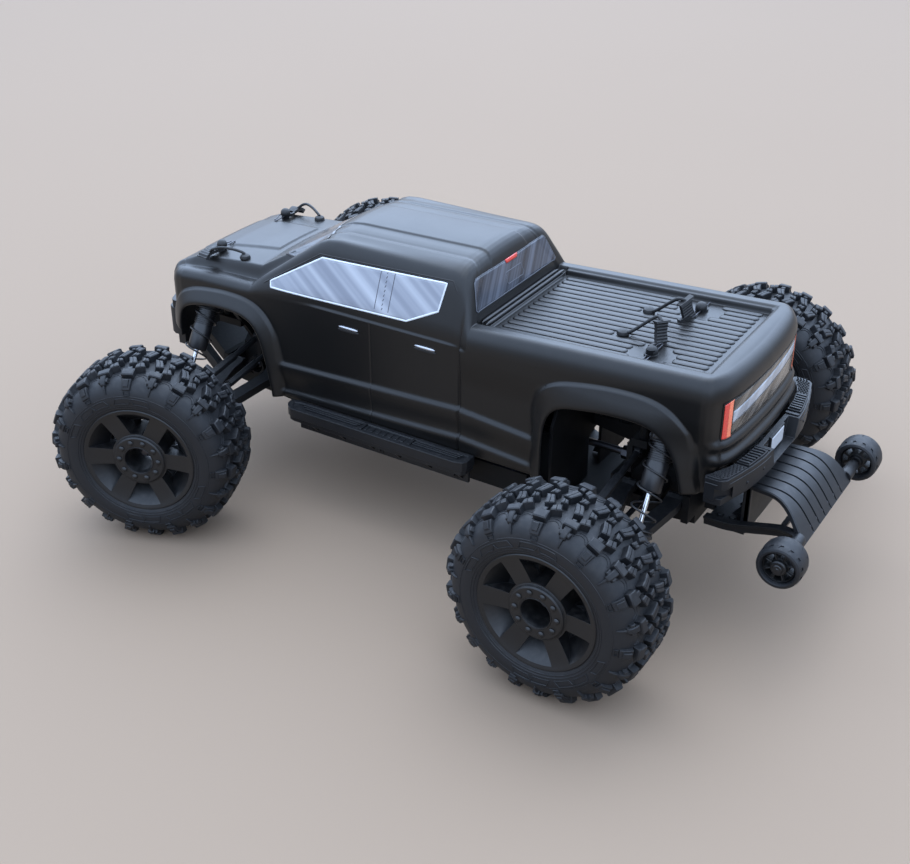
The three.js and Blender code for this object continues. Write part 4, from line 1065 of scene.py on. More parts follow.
def wheelie_bar():
    """A ribbed plate that widens and curls down to the axle, an open brace below it, and the axle tube."""
    steps = resample(PLATE_LINE, 34)
    fixed = sorted(g + d for g in GROOVES for d in (-1.0, -0.6, 0.6, 1.0))
    top, low = [], []
    for i, (x, z) in enumerate(steps):
        before, after = steps[max(i - 1, 0)], steps[min(i + 1, len(steps) - 1)]
        t = (after - before) / np.linalg.norm(after - before)
        n = np.array([t[1], -t[0]])
        half = float(np.interp(-x, [-p[0] for p in PLATE_EDGE], [p[1] for p in PLATE_EDGE]))
        columns = [-half, -half + 1.0, *fixed, half - 1.0, half]
        for y in columns:
            groove = any(abs(y - g) < 0.8 for g in GROOVES) and 1 < i < len(steps) - 1
            drop = 1.6 if groove else (0.7 if abs(y) == half else 0.0)
            top.append((x - n[0] * drop, y, z - n[1] * drop))
            low.append((x - n[0] * 3.4, y, z - n[1] * 3.4))
    rows, m = len(steps), len(columns)
    sheet = Shape()
    base = rows * m
    faces = grid_faces(rows, m) + [[i + base for i in reversed(f)] for f in grid_faces(rows, m)]
    rim_loop = list(range(m)) + [r * m + m - 1 for r in range(1, rows)]
    rim_loop += [(rows - 1) * m + i for i in range(m - 2, -1, -1)] + [r * m for r in range(rows - 2, 0, -1)]
    for k, a in enumerate(rim_loop):
        b = rim_loop[(k + 1) % len(rim_loop)]
        faces.append([b, a, a + base, b + base])
    sheet.add(top + low, faces)
    make("wheelie_plate", sheet, PLASTIC, "chassis", 32, replaces="wheelie_bar")

    frame_shape = Shape()
    for sign in (1, -1):
        rail = spline([(-236, 30, 59.5), (-256, 31.5, 61), (-276, 35, 67.5), (-296, 41, 76), (-308, 47, 80.0),
                       (-315, 52, 81.5)], 6)
        rail = [(x, y * sign, z) for x, y, z in rail]
        section = [(-1.7, -3.4), (1.7, -3.4), (1.7, 3.4), (-1.7, 3.4)]
        frame_shape.join(sweep(rail, section))
        flange = [(-3.4, -1.1), (3.4, -1.1), (3.4, 1.1), (-3.4, 1.1)]
        frame_shape.join(sweep([(x, y, z + 3.2) for x, y, z in rail], flange))
        frame_shape.join(block(-270, -264, 60, 104, 28.5 * sign - 1.5, 28.5 * sign + 1.5, "y"))
        for x in (-246, -256):
            frame_shape.join(rod((x, 24 * sign, 63), (x, 24 * sign, 65.4), 3.0, 6, 0.4))
    inner = block(-269.6, -266, 58, 103, -30, 30, "y")
    make("wheelie_inner_wall", inner, INSIDE, "chassis", 30, bevel=0.4)
    frame_shape.join(block(-268, -238.4, -30, 30, 56, 62.5))
    frame_shape.join(block(-300, -296, -40, 40, 74.4, 77.6))
    for y in (-14, 0, 14):
        frame_shape.join(prism([(-266, 62), (-252, 62), (-266, 80)], y - 1, y + 1, "y"))
    for sign in (1, -1):
        stub = lathe([(0.02, 50), (4.9, 50), (5.2, 51), (5.2, 60), (4.6, 62), (4.6, 71), (3.8, 72.5),
                      (0.02, 72.5)], 24)
        frame_shape.join(stub, Matrix.Translation((WHEELIE_X, 0, WHEELIE_Z)) @ Matrix.Scale(sign, 4,
                                                                                            (0, 1, 0)))
    make("wheelie_brace", frame_shape, PLASTIC, "chassis", 30, bevel=0.4)
    axle = rod((WHEELIE_X, -88.8, WHEELIE_Z), (WHEELIE_X, 88.8, WHEELIE_Z), 2.2, 20, 0.5)
    make("wheelie_axle", axle, DARK_STEEL, "chassis", 35)


wheelie_bar()


def wheelie_wheel():
    """Rounded tread with small notches, a spoked hub and a centre cap; y outboard."""
    profile = [(12.6, -9.0), (13.4, -10.2), (14.6, -10.2), (15.9, -9.4), (16.7, -7.4), (17.0, -4), (17.0, 4),
               (16.7, 7.4), (15.9, 9.4), (14.6, 10.2), (13.4, 10.2), (12.6, 9.0), (12.2, 5), (12.2, -5)]
    tread = lathe(profile, 72)
    notches = []
    for k in range(14):
        a = 2 * math.pi * k / 14
        turn = Matrix.Rotation(a, 4, "Y")
        for sign, lead in ((1, 0.0), (-1, math.pi / 14)):
            skew = Matrix.Rotation(lead, 4, "Y") @ turn
            cutter = prism([(-1.3, 4.6 * sign), (1.1, 4.6 * sign), (2.9, 9.6 * sign), (-0.4, 9.8 * sign)],
                           16.2, 19)
            notches.append(Shape().join(cutter, skew))
    tread = carve(tread, notches)
    hub = lathe([(12.4, -5), (12.4, 6.6), (11.2, 7.6), (10.6, 6.4), (6.4, 6.0), (5.9, 8.6), (5.0, 9.4),
                 (2.6, 9.4), (2.6, -8.6), (4.6, -8.6), (5.4, -6), (10.6, -5.4), (11.2, -6.4)], 64)
    hub = carve(hub, copies_round_y(wedge(6.9, 10.9, math.radians(14), math.radians(16), -12, 12), 8))
    for c, s in spokes(8, 0.5):
        hub.join(rod((5.4 * c, 6.4, 5.4 * s), (10.8 * c, 6.8, 10.8 * s), 0.7, 8))
    cap = lathe([(0.02, 9.0), (0.02, 11.6), (1.2, 11.6), (1.5, 11.0), (3.2, 11.0), (3.6, 10.4), (3.6, 9.2)],
                32)
    cap.join(lathe([(3.9, 9.2), (3.9, 9.9), (4.7, 9.9), (4.7, 9.2)], 40))
    return tread, hub, cap


tread, hub, cap = wheelie_wheel()
for side, sign in SIDES:
    place = facing_out(WHEELIE_X, WHEELIE_Y, WHEELIE_Z, sign)
    make(f"wheelie_{side}_tread", tread, RUBBER, f"wheelie_{side}", 30, matrix=place,
         replaces=f"wheelie_wheel_{side}")
    make(f"wheelie_{side}_hub", hub, WHEEL, f"wheelie_{side}", 30, bevel=0.25, matrix=place)
    make(f"wheelie_{side}_cap", cap, SHOCK, f"wheelie_{side}", 30, matrix=place)


# ---- Side steps ----
def side_step():
    """A grooved board with plain bars between its two grooved parts, its skirt, ribs and brackets."""
    plan = [(-60, 80.8), (112, 80.8), (120, 83.4), (119, 90), (115.4, 94.4), (110, 97.2), (-51, 97.4),
            (-57.6, 95.4), (-60, 92)]
    apron = prism([(x * 0.985 + 0.2, min(y, 95.6)) for x, y in plan], 73.0, 78.4)
    shallow = prism([(-56.4, 84.2), (108, 84.2), (115, 86.0), (112.4, 91.4), (108, 94.2), (-50, 94.4),
                     (-56.4, 91)], 84.4, 88)
    whole = Shape().join(carve(prism(plan, 77.2, 85.2), [shallow])).join(apron)
    for start, end in ((-53, -8), (44, 106)):
        for i, y in enumerate((86.1, 88.5, 90.9)):
            trim = 3.0 * i if end > 50 else 0
            whole.join(block(start + 1.2 * i, end - trim, y - 0.65, y + 0.65, 83.8, 85.9))
    for x in (-5.6, 41.6):
        whole.join(block(x - 1.3, x + 1.3, 84.6, 94.0, 83.8, 85.7))
    for x in np.arange(2, 40, 6.0):
        whole.join(block(x - 1.4, x + 1.4, 86.2, 92.6, 84.0, 85.0))
    whole.join(block(-56, 112, 80.6, 83.4, 60, 80))
    for x in (-50.0, -20.0, 10.0, 36.0, 66.0, 94.0):
        whole.join(prism([(83.2, 62), (94.6, 74), (94.6, 77), (83.2, 77)], x - 1.2, x + 1.2, "x"))
    for x in (-46, 26, 96):
        whole.join(block(x, x + 9, 60.4, 84, 61, 67))
        whole.join(rod((x + 4.5, 83.0, 64), (x + 4.5, 85.2, 64), 2.6, 12, 0.4))
    return whole


left_step = side_step()
for side, step in (("left", left_step), ("right", y_mirrored(left_step))):
    make(f"side_step_{side}_board", step, PLASTIC, "chassis", 30, bevel=0.6,
         replaces=f"side_step_{side}")


# ---- Front bumper ----
def front_bumper():
    half = [(286, 0), (285.6, 26), (283.4, 44), (279.4, 53), (274, 56), (266, 56), (265, 50), (268.4, 40)]

    def layer(set_back, narrower, low, high):
        plan = [(x - set_back if x > 276 else x, y * narrower) for x, y in half]
        return prism(mirror_plan(plan), low, high)

    bar, upper, lower = layer(0, 1, 96, 122), layer(2.2, 0.985, 121, 129), layer(3.4, 0.93, 85, 97)
    opening = prism([(-24, 99), (24, 99), (27.5, 116), (-27.5, 116)], 280, 290, "x")
    slots = [block(y - 5.5, y + 5.5, 88.5, 93.5, 270, 290, "x") for y in (-30, -10, 10, 30)]
    lamps = [block(s * 36.5 - 5, s * 36.5 + 5, 103, 112, 278.5, 290, "x") for s in (1, -1)]
    whole = Shape().join(carve(bar, [opening, *lamps])).join(upper).join(carve(lower, slots))
    for z in (102.5, 107.0, 111.5):
        whole.join(block(279.0, 281.6, -25, 25, z, z + 1.8))
    for y in (-16, 0, 16):
        whole.join(block(279.0, 281.2, y - 1, y + 1, 99, 116))
    whole.join(prism([(228.4, 48), (240, 48), (278, 84), (270, 90), (236, 56), (228.4, 56)], -20, 20, "y"))
    for y in (-14, -7, 0, 7, 14):
        whole.join(prism([(240, 46.9), (278.8, 83.6), (277, 85.4), (240, 49.6)], y - 0.9, y + 0.9, "y"))
    for y in (-34, 34):
        whole.join(prism([(229, 60), (229, 52), (242, 52), (276, 86), (270, 92), (238, 60)], y - 4, y + 4,
                         "y"))
    whole.join(block(229, 237, -38, 38, 50, 59))
    whole.join(block(262.6, 270, -30, 30, 119, 127))
    make("front_bumper_moulding", whole, PLASTIC, "chassis", 30, bevel=0.7,
         replaces="front_bumper")
    lenses = Shape()
    for s in (1, -1):
        lenses.join(dome((278.4, s * 36.5, 107.5), 4.0, 2.6, (1, 0, 0), 24, 5))
    make("bumper_lamps", lenses, CHROME, "chassis", 35)


front_bumper()


# ---- Shock absorbers, in their own frame: top eye at the origin, the shaft downwards ----
SHOCK_X, SHOCK_Y, SHOCK_Z = WHEELBASE / 2 + 20, 62, 160  # the top eye
SHOCK_LENGTH, SHOCK_LEAN = 106.5, math.radians(31.634)
SPRING_TOP, SPRING_END = -20.6, -87.0


def shock_shapes():
    def upright(profile, segments=32):
        return Shape().join(lathe(profile, segments), Y_TO_Z)

    body = Shape()
    body.join(lathe([(2.7, -3.6), (5.4, -3.6), (6.0, -3.0), (6.0, 3.0), (5.4, 3.6), (2.7, 3.6)], 28), Y_TO_X)
    profile = [(0.02, -4.6), (6.2, -4.6), (7.4, -6), (8.7, -7), (8.7, -14.5), (8.0, -15.4), (8.4, -16.0)]
    for k in range(12):
        z = -16.4 - k * 1.6
        profile += [(8.5, z), (8.5, z - 0.7), (7.8, z - 1.0), (7.8, z - 1.5)]
    profile += [(8.2, -36.4), (8.2, -56.2), (7.4, -57.8), (4.0, -58.0), (2.2, -58.0), (2.2, -52), (0.02, -52)]
    body.join(upright(profile, 40))
    for c, s in spokes(20):
        body.join(rod((8.6 * c, 8.6 * s, -8.0), (8.6 * c, 8.6 * s, -13.6), 0.45, 6, 0.2))
    collar = upright([(8.0, -15.6), (10.6, -15.6), (11.2, -16.4), (11.2, -19.0), (10.6, -20.0), (8.0, -20.0)],
                     40)
    for c, s in spokes(12):
        collar.join(rod((11.0 * c, 11.0 * s, -16.4), (11.0 * c, 11.0 * s, -19.2), 0.8, 8, 0.3))
    eye_z = -SHOCK_LENGTH
    lower = Shape()
    lower.join(lathe([(3.3, -3.2), (5.0, -3.2), (5.8, -2.4), (5.8, 2.4), (5.0, 3.2), (3.3, 3.2)], 28),
               Matrix.Translation((0, 0, eye_z)) @ Y_TO_X)
    lower.join(upright([(0.02, eye_z + 5), (3.6, eye_z + 5), (3.6, eye_z + 12), (4.2, eye_z + 13),
                        (0.02, eye_z + 13)]))
    lower.join(upright([(0.02, eye_z + 12.4), (4, eye_z + 13), (10.4, eye_z + 14.6), (11.3, eye_z + 15.6),
                        (11.3, eye_z + 17.6), (10.4, eye_z + 18.4), (8.6, eye_z + 18.4), (8.0, eye_z + 19.6),
                        (3.4, eye_z + 19.8), (0.02, eye_z + 19.8)], 36))
    shaft = upright([(0.02, eye_z + 12), (1.9, eye_z + 12), (1.9, -42), (0.02, -42)], 24)
    path = []
    turns, steps = 6.0, 30
    count, dead = int(turns * steps), 0.9 / turns  # dead: the share of the coil that lies flat at each end
    for k in range(count + 1):
        t = k / count
        if t < dead:
            z = SPRING_TOP - 1.2 * t / dead
        elif t > 1 - dead:
            z = SPRING_END + 1.2 * (1 - t) / dead
        else:
            z = SPRING_TOP - 1.2 + (SPRING_END - SPRING_TOP + 2.4) * (t - dead) / (1 - 2 * dead)
        a = 2 * math.pi * turns * t
        path.append((10.0 * math.cos(a), 10.0 * math.sin(a), z))
    return body, collar, lower, shaft, tube(path, 0.8, 8)


body, collar, lower, shaft, coil = shock_shapes()
for end, flip_x in (("front", 1), ("rear", -1)):
    for side, sign in SIDES:
        corner = f"{end}_{side}"
        place = Matrix.Translation((flip_x * SHOCK_X, sign * SHOCK_Y, SHOCK_Z))
        place = place @ Matrix.Rotation(sign * SHOCK_LEAN, 4, "X")
        make(f"shock_{corner}_tube", body, SHOCK, f"shock_{corner}", 32, matrix=place,
             replaces=f"shock_body_{corner}")
        make(f"shock_{corner}_collar", collar, SHOCK, f"shock_{corner}", 32, matrix=place)
        make(f"shock_{corner}_lower_cup", lower, SHOCK, f"piston_{corner}", 32, matrix=place,
             replaces=f"shock_shaft_{corner}")
        make(f"shock_{corner}_shaft", shaft, STEEL, f"piston_{corner}", 32, matrix=place)
        spring = make(f"spring_{corner}_coil", coil, SPRING, None, 50, matrix=place,
                      replaces=f"spring_{corner}")
        high, low = (TO_ROW @ place @ Vector((0, 0, z)) for z in (SPRING_TOP, SPRING_END))
        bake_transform(spring)


# ---- On the body: bed ribs, windows, lamps, handles, grille ----
def rib(x0, x1, y, width, height, base):
    """A low rounded bar with round ends; base gives the height of the surface at x."""
    steps = [0.0, 0.25, 0.6, 1.0]
    r = width / 2
    xs = [x0 + r * t for t in steps]
    inner_count = max(2, int((x1 - x0) / 12))
    xs += list(np.linspace(x0 + r, x1 - r, inner_count))[1:-1] + [x1 - r * t for t in steps[::-1]]
    path, sections = [], []
    for x in xs:
        edge = min(x - x0, x1 - x)
        share = math.sqrt(max(1 - (1 - min(edge / r, 1)) ** 2, 0.003))
        w, h = r * share, height * min(1, 0.25 + 0.75 * share)
        path.append((x, y, base(x) - 0.6))
        arc = [(w * math.cos(a), 0.6 + (h if share > 0.1 else 0.05) * math.sin(a) ** 0.5)
               for a in np.linspace(0.0, math.pi, 9)]
        sections.append([(w, 0), *arc, (-w, 0)])
    return sweep(path, sections, up=(0, 0, 1))


def bed_floor(x):
    return rail_z(x) - PANEL_DROP


REAR_CLIP_X = -187.9


def bed():
    """Ribs that stop short of the clips and their grommets, and two lips at the front of the bed."""
    ribs = Shape()
    pad_x, pad_y, pad_r = REAR_CLIP_X, 44.7, 15.0
    for k in range(15):
        y = (k - 7) * 8.0
        spans = [(-234.0, -64.5)]
        off = abs(abs(y) - pad_y)
        if off < pad_r:
            reach = math.sqrt(pad_r**2 - off**2) + 3
            spans = [(-234.0, pad_x - reach), (pad_x + reach, -64.5)]
        if abs(abs(y) - 24) < 5:
            spans = [s for a, b in spans for s in (((a, -160.5), (-147.5, b)) if a < -160 < b else ((a, b),))]
        for a, b in spans:
            if b - a > 9:
                ribs.join(rib(a, b, y, 7.0, 1.15, bed_floor))
    make("bed_ribs", ribs, PAINT, "chassis", 50)
    lips = Shape()
    for x, half, height in ((-58.2, 62.5, 1.5), (-53.6, 60.5, 2.2)):
        path = [(x, y, rail_z(x) - 2.6 + height / 2) for y in np.linspace(-half, half, 24)]
        ends = [circle(1.7 * (0.35 if i in (0, 23) else 1), 10, 0.9) for i in range(24)]
        lips.join(sweep(path, ends))
    make("bed_front_lips", lips, PAINT, "chassis", 50)


bed()

FROM_BEHIND, OVER_BED, FROM_FRONT = start_at_x(-330), start_at_x(-74), start_at_x(330)
BACK, FORWARD = (1, 0, 0), (-1, 0, 0)
# the rear window film's streaks are painted reflections
film("rear_window", [(-63, 200.5), (-61, 198.6), (61, 198.6), (63, 200.5)],
     [(-55.5, 219.8), (-52.5, 222.0), (52.5, 222.0), (55.5, 219.8)], OVER_BED, BACK, REAR_FILM, 60, 14)
outline("rear_window_edge", [(-62.4, 201), (-60.4, 199), (60.4, 199), (62.4, 201), (55, 219.8), (52, 221.8),
                             (-52, 221.8), (-55, 219.8)], OVER_BED, BACK, WINDOW_EDGE, 0.5, 0.3)
film("high_stop_lamp", [(-8, 219.2), (8, 219.2)], [(-9.5, 222.4), (9.5, 222.4)], OVER_BED, BACK, RED_LAMP, 12,
     4, 0.6)
outline("rear_window_hatch", [(-11, 204), (11, 204), (13, 206), (12, 213), (-12, 213), (-13, 206)], OVER_BED,
        BACK, WINDOW_EDGE, 0.45, 0.35)
# the windscreen film's faint streaks are painted reflections
film("windscreen", [(-59, 200.5), (59, 200.5)], [(-51, 225.0), (51, 225.0)], FROM_FRONT, FORWARD, FRONT_FILM,
     60, 18)
outline("windscreen_edge", [(-59, 200.5), (59, 200.5), (51, 225), (-51, 225)], FROM_FRONT, FORWARD, PAINT,
        0.6, 0.2)

for side, flip in SIDES:
    toward, beside = (0, -flip, 0), start_beside(flip)
    for i, x in enumerate((22.5, 29.0, 35.5)):
        marks = [(187.5, 217.0)] if i != 1 else [(z, z + 1.8) for z in np.arange(188, 216, 3.4)]
        for j, (z0, z1) in enumerate(marks):
            outline(f"pillar_line_{side}_{i}_{j}", [(x, z0), (x - 0.8, z1)], beside, toward, PILLAR_LINE,
                    0.32, 0.42, closed=False)
    # taillights: an outer red bar and an inner orange one
    for name, tint, y0, y1, z0, z1 in (("red", RED_LAMP, 69.4, 65.2, 183.2, 184.4),
                                       ("orange", ORANGE_LAMP, 65.4, 61.2, 184.4, 185.6)):
        film(f"taillight_{name}_{side}", [(flip * y0, 155.6), (flip * y1, 155.2)],
             [(flip * y0, z0), (flip * y1, z1)], FROM_BEHIND, BACK, tint, 8, 24, 0.7)
    outline(f"taillight_edge_{side}", [(flip * 69.9, 155), (flip * 60.7, 154.6), (flip * 60.7, 186),
                                       (flip * 69.9, 183.6)], FROM_BEHIND, BACK, PAINT, 0.7, 0.3)
    # door handles: a chrome grip over a dark strip of painted shade
    for name, x, z in (("front", 60.3, 164.0), ("rear", -13.1, 166.2)):
        centre, normal = on_shell(beside(x, z), toward, 0.0)
        grip, shade = Shape(), Shape()
        for shape, drop, half, high, out in ((grip, 0.9, 9.6, 1.35, 1.5), (shade, -1.3, 10.4, 1.5, 0.7)):
            path, sections = [], []
            for t in np.linspace(-1, 1, 13):
                end = math.sqrt(max(1 - abs(t) ** 4, 0.02))
                point = Vector((x + half * t, centre.y + normal.y * 0.2, z + drop))
                path.append(point)
                sections.append(circle(out * end, 10, high / out))
            shape.join(sweep(path, sections, up=(0, 0, 1)))
        make(f"door_handle_{name}_{side}", grip, CHROME, "chassis", 50)
        make(f"door_handle_shade_{name}_{side}", shade, INSIDE, "chassis", 50)
    # a slim drip line over the window; the door seams are part of the shell
    outline(f"drip_line_{side}", [(148, 183), (95, 216.8), (-30, 221.6), (-36, 214)], beside, toward, PAINT,
            0.5, 0.1, closed=False)

# the tail band with its streaks of painted reflection, then a broad grey streak of painted reflection across
# it
film("tail_band", [(-60.2, 156.5), (60.2, 156.5)], [(-60.2, 184.0), (60.2, 184.0)], FROM_BEHIND, BACK,
     BAND_FILM, 70, 16)
film("tail_reflection_streak", [(-59.6, 172.5), (-20, 170.2), (20, 168.0), (59.6, 165.0)],
     [(-59.6, 180.5), (-20, 179.2), (20, 177.4), (59.6, 174.6)], FROM_BEHIND, BACK, REFLECTION_STREAK_FILM, 70, 6, 0.5)
outline("tail_band_edge", [(-60.4, 156), (60.4, 156), (60.4, 184.6), (-60.4, 184.6)], FROM_BEHIND, BACK,
        PAINT, 0.6, 0.25)

# The nose, which the photograph hides: a plain slatted grille between plain lamps
film("grille_field", [(-38, 141), (38, 141)], [(-42, 168), (42, 168)], FROM_FRONT, FORWARD, INSIDE, 50, 16)
outline("grille_surround", [(-38, 141), (38, 141), (42, 168), (-42, 168)], FROM_FRONT, FORWARD, PAINT, 1.5,
        0.4, flat=0.8)
for k, z in enumerate((147.0, 153.0, 159.0, 164.5)):
    outline(f"grille_slat_{k}", [(-38 - (z - 141) * 0.12, z), (38 + (z - 141) * 0.12, z)], FROM_FRONT,
            FORWARD, WHEEL, 1.1, 0.5, flat=0.7, closed=False)
for side, flip in SIDES:
    # headlamp films: pale streaks of painted reflection
    film(f"headlamp_{side}", [(flip * 46, 146), (flip * 66, 148)], [(flip * 48, 166), (flip * 66, 165)],
         FROM_FRONT, FORWARD, REFLECTION_STREAK_FILM, 14, 12, 0.5)
    outline(f"headlamp_edge_{side}", [(flip * 46, 146), (flip * 66, 148), (flip * 66, 165), (flip * 48, 166)],
            FROM_FRONT, FORWARD, CHROME, 0.6, 0.5)


# ---- Body clips: a post pin, a ball on the clip, a rubber tab or strap and its grommet ----
def r_clip(at, s, length):
    """The bent wire of a clip through the post's pin hole, which is at, its two ends towards s on y."""
    x, y, z = at
    wire = tube([(x - 1.4, y - s * 11, z), (x - 1.4, y + s * length, z - 0.3)], 0.5, 8)
    curve = spline([(x + 1.4, y + s * (length - 2), z - 0.6), (x + 1.6, y + s * 6, z),
                    (x + 3.6, y + s * 1, z + 0.4),
                    (x + 1.6, y - s * 4.5, z + 0.2), (x + 2.0, y - s * 9, z), (x + 0.3, y - s * 13, z),
                    (x - 1.4, y - s * 11, z)], 5)
    return wire.join(tube(curve, 0.5, 8))


def grommet(at, radius, height):
    profile = [(0.02, -1.5), (radius * 0.55, -1.5), (radius * 0.6, 0.0), (radius, 0.3), (radius, 1.2),
               (radius * 0.85, height * 0.7), (radius * 0.5, height * 0.95), (0.02, height)]
    return Shape().join(lathe(profile, 28), Matrix.Translation(at) @ Y_TO_Z)


def strip_section(half, thick):
    return [(half, -thick), (half, thick), (-half, thick), (-half, -thick)]


def rear_clip(side, flip):
    x = REAR_CLIP_X
    wire = r_clip((x, flip * 40.5, 195.4), flip, 18.5)
    make(f"rear_clip_wire_{side}", wire, DARK_STEEL, "chassis", 60)
    rubber = Shape()
    rubber.join(ball((x, flip * 44.7, 196.4), 4.6, 24, 14))
    rubber.join(lathe([(3.9, -4), (5.2, -4), (5.2, -2.6), (3.9, -2.6)], 28),
                Matrix.Translation((x, flip * 46.0, bed_floor(x) + 4.2)) @ Y_TO_Z)
    # the tab: a ribbed strip standing up, its face towards the tail
    base, tip = Vector((-187.1, flip * 26, 192.4)), Vector((-183.7, flip * 21.1, 210.6))
    across = Vector((0.35, 0.94, 0)).normalized()
    up = (tip - base).normalized()
    face = across.cross(up).normalized()
    path, sections = [], []
    for k in range(33):
        t = k / 32
        path.append(base + (tip - base) * t + face * 0.9 * math.sin(t * math.pi))
        ridge = 0.42 if k % 4 in (1, 2) else 0.0
        half = 6.2 - 1.0 * math.sin(math.pi * t) + (1.0 if t > 0.93 else 0)
        thick = 1.25 + ridge + (0.9 if t > 0.93 else 0)
        sections.append(strip_section(half, thick))
    rubber.join(sweep(path, sections, up=tuple(face)))
    rubber.join(sweep([base + up * 1.5 + across * 2 * k for k in range(7)], strip_section(2.6, 1.6),
                      up=tuple(face)))
    end = Vector((-154.1, flip * 22.8, 193.2))
    arm = spline([tuple(tip - up * 0.6), (-179.3, flip * 18.6, 211.6), (-172.5, flip * 19.2, 206.6),
                  (-165.5, flip * 20.6, 200.2), (-159.5, flip * 21.8, 195.4), tuple(end)], 6)
    rubber.join(tube(arm, 1.35, 10))
    rubber.join(grommet((end.x, end.y, bed_floor(end.x) + 0.4), 4.8, 4.2))
    make(f"rear_clip_strap_{side}", rubber, SOFT_RUBBER, "chassis", 32)


def front_clip(side, flip):
    wire = r_clip((219.2, flip * 40.5, 188.6), -flip, 12.5)
    make(f"front_clip_wire_{side}", wire, DARK_STEEL, "chassis", 60)
    rubber = Shape()
    rubber.join(ball((218.8, flip * 44.0, 190.6), 4.4, 24, 14))
    tab = [(218.6, flip * 52, 188.6), (219.6, flip * 57, 188.8), (220.6, flip * 61.5, 188.6),
           (221.0, flip * 65.0, 187.4),
           (221.2, flip * 66.6, 184.9)]
    tab = spline(tab, 5)
    sections = []
    for k in range(len(tab)):
        t = k / (len(tab) - 1)
        half = 3.4 + 2.4 * t
        thick = 1.3 + (0.4 if k % 3 == 0 else 0) + (0.8 if t > 0.85 else 0)
        sections.append(strip_section(half, thick))
    rubber.join(sweep(tab, sections, up=(0, 0, 1)))
    rubber.join(lathe([(3.0, -1.4), (4.6, -1.4), (4.6, 1.4), (3.0, 1.4)], 24),
                Matrix.Translation((218.0, flip * 49.0, 188.6)) @ Y_TO_Z)
    arm = spline([(218.4, flip * 60.5, 189.0), (213.0, flip * 62.4, 193.6), (206.1, flip * 60.5, 196.0),
                  (197.5, flip * 57.0, 195.6), (190.0, flip * 53.6, 193.6), (186.4, flip * 52.3, 191.8)], 6)
    rubber.join(tube(arm, 1.25, 10))
    top, _ = on_shell((186.4, flip * 52.3, 260), (0, 0, -1), 0.0)
    rubber.join(grommet((186.4, flip * 52.3, top.z), 4.6, 4.0))
    make(f"front_clip_strap_{side}", rubber, SOFT_RUBBER, "chassis", 32)


for side, flip in SIDES:
    rear_clip(side, flip)
    front_clip(side, flip)


# ---- CAD nodes that stay: new materials and softened edges ----
def keep(node, mat, bevel=0.4):
    obj = bpy.data.objects[node]
    if not obj.material_slots:
        obj.data.materials.append(mat)
    for slot in obj.material_slots:
        slot.material = mat
    soften(obj, bevel, 28)


# The bulkheads and the chassis plate take the chassis plastic darkened as painted shade.
for end in ("front", "rear"):
    keep(f"{end}_bulkhead", SHADE_DARKENED_PLASTIC, 0.6)
    keep(f"{end}_driveshaft", DARK_STEEL)
    for side, _ in SIDES:
        keep(f"lower_arm_{end}_{side}", PLASTIC, 0.6)
        keep(f"upper_link_{end}_{side}", PLASTIC)
        keep(f"halfshaft_{end}_{side}", DARK_STEEL, 0.3)
for side, _ in SIDES:
    for stem in ("caster_block", "hub_carrier", "steering_knuckle", "tie_rod"):
        keep(f"{stem}_{side}", PLASTIC)
keep("steering_link", PLASTIC)
keep("chassis_plate", SHADE_DARKENED_PLASTIC, 0.5)
keep("steering_servo", SHOCK)
keep("speed_controller", SHOCK)
keep("battery", PACK, 1.2)
keep("motor", DARK_STEEL, 0.5)
keep("motor_pinion", STEEL, 0.15)
keep("spur_gear", WHEEL, 0.15)


# ---- A dark plate ahead of the rear wheels, a stand-in of painted shade for the arch's dark inside, which the photograph only shows as a dark wall ----
def shade_plate():
    edge = [(-57, 52.2), (57, 52.2), (75, 62), (75, 128), (64, 146), (-64, 146), (-75, 128), (-75, 62)]
    wall = prism(edge, -125.5, -123, "x")
    tunnel = prism([(-11, 50), (11, 50), (11, 88), (5, 93), (-5, 93), (-11, 88)], -130, -118, "x")
    windows = [prism([(y - 7, 98), (y + 7, 98), (y + 5, 108), (y - 5, 108)], -124.2, -120, "x") for y in (-26,
                                                                                                          0,
                                                                                                          26)]
    whole = carve(wall, [tunnel, *windows])
    for y in (-44, -26, 26, 44):
        whole.join(prism([(-123, 53), (-112, 53), (-123, 86)], y - 1.1, y + 1.1, "y"))
    make("rear_splash_plate", whole, SHADE_DARKENED_PLASTIC, "chassis", 30, bevel=0.4)
    beam = prism([(-122.8, 97), (-168, 90), (-168, 122), (-150, 128), (-122.8, 130)], -3.4, 3.4, "y")
    holes = [prism([(x - 6, 106), (x + 6, 105), (x + 5, 118), (x - 5, 119)], low, high, "y")
             for low, high in ((1.6, 5.0), (-5.0, -1.6)) for x in (-136, -153)]
    make("rear_centre_brace", carve(beam, holes), SHADE_DARKENED_PLASTIC, "chassis", 30, bevel=0.4)


shade_plate()


# ---- Floor, light and camera ----
FLOOR_HALF = 4.0  # metres


def floor_material():
    mat, tree, shader = new_material("pale_floor")
    noise = add_node(tree, "TexNoise", {"Scale": 3, "Detail": 8}).outputs["Fac"]
    tone = add_node(tree, "Mix", {"Factor": noise, "A": (0.240, 0.176, 0.124, 1),
                                  "B": (0.274, 0.202, 0.144, 1)},
                    data_type="RGBA")
    plug(tree, shader, {"Base Color": tone.outputs["Result"], "Roughness": 0.85, "Specular IOR Level": 0.2})
    return mat


BRIGHT_SKY = (0.46, -0.73, 0.50)  # where the overcast sky is brightest: behind the truck
SKY_STRENGTH = 2.4
BRIGHT_SKY_EXTRA = 2.5
CAMERA_AT = (-0.5217, 0.8782, 0.6467)
CAMERA_AZIMUTH, CAMERA_ELEVATION = math.radians(212.137), math.radians(30.072)


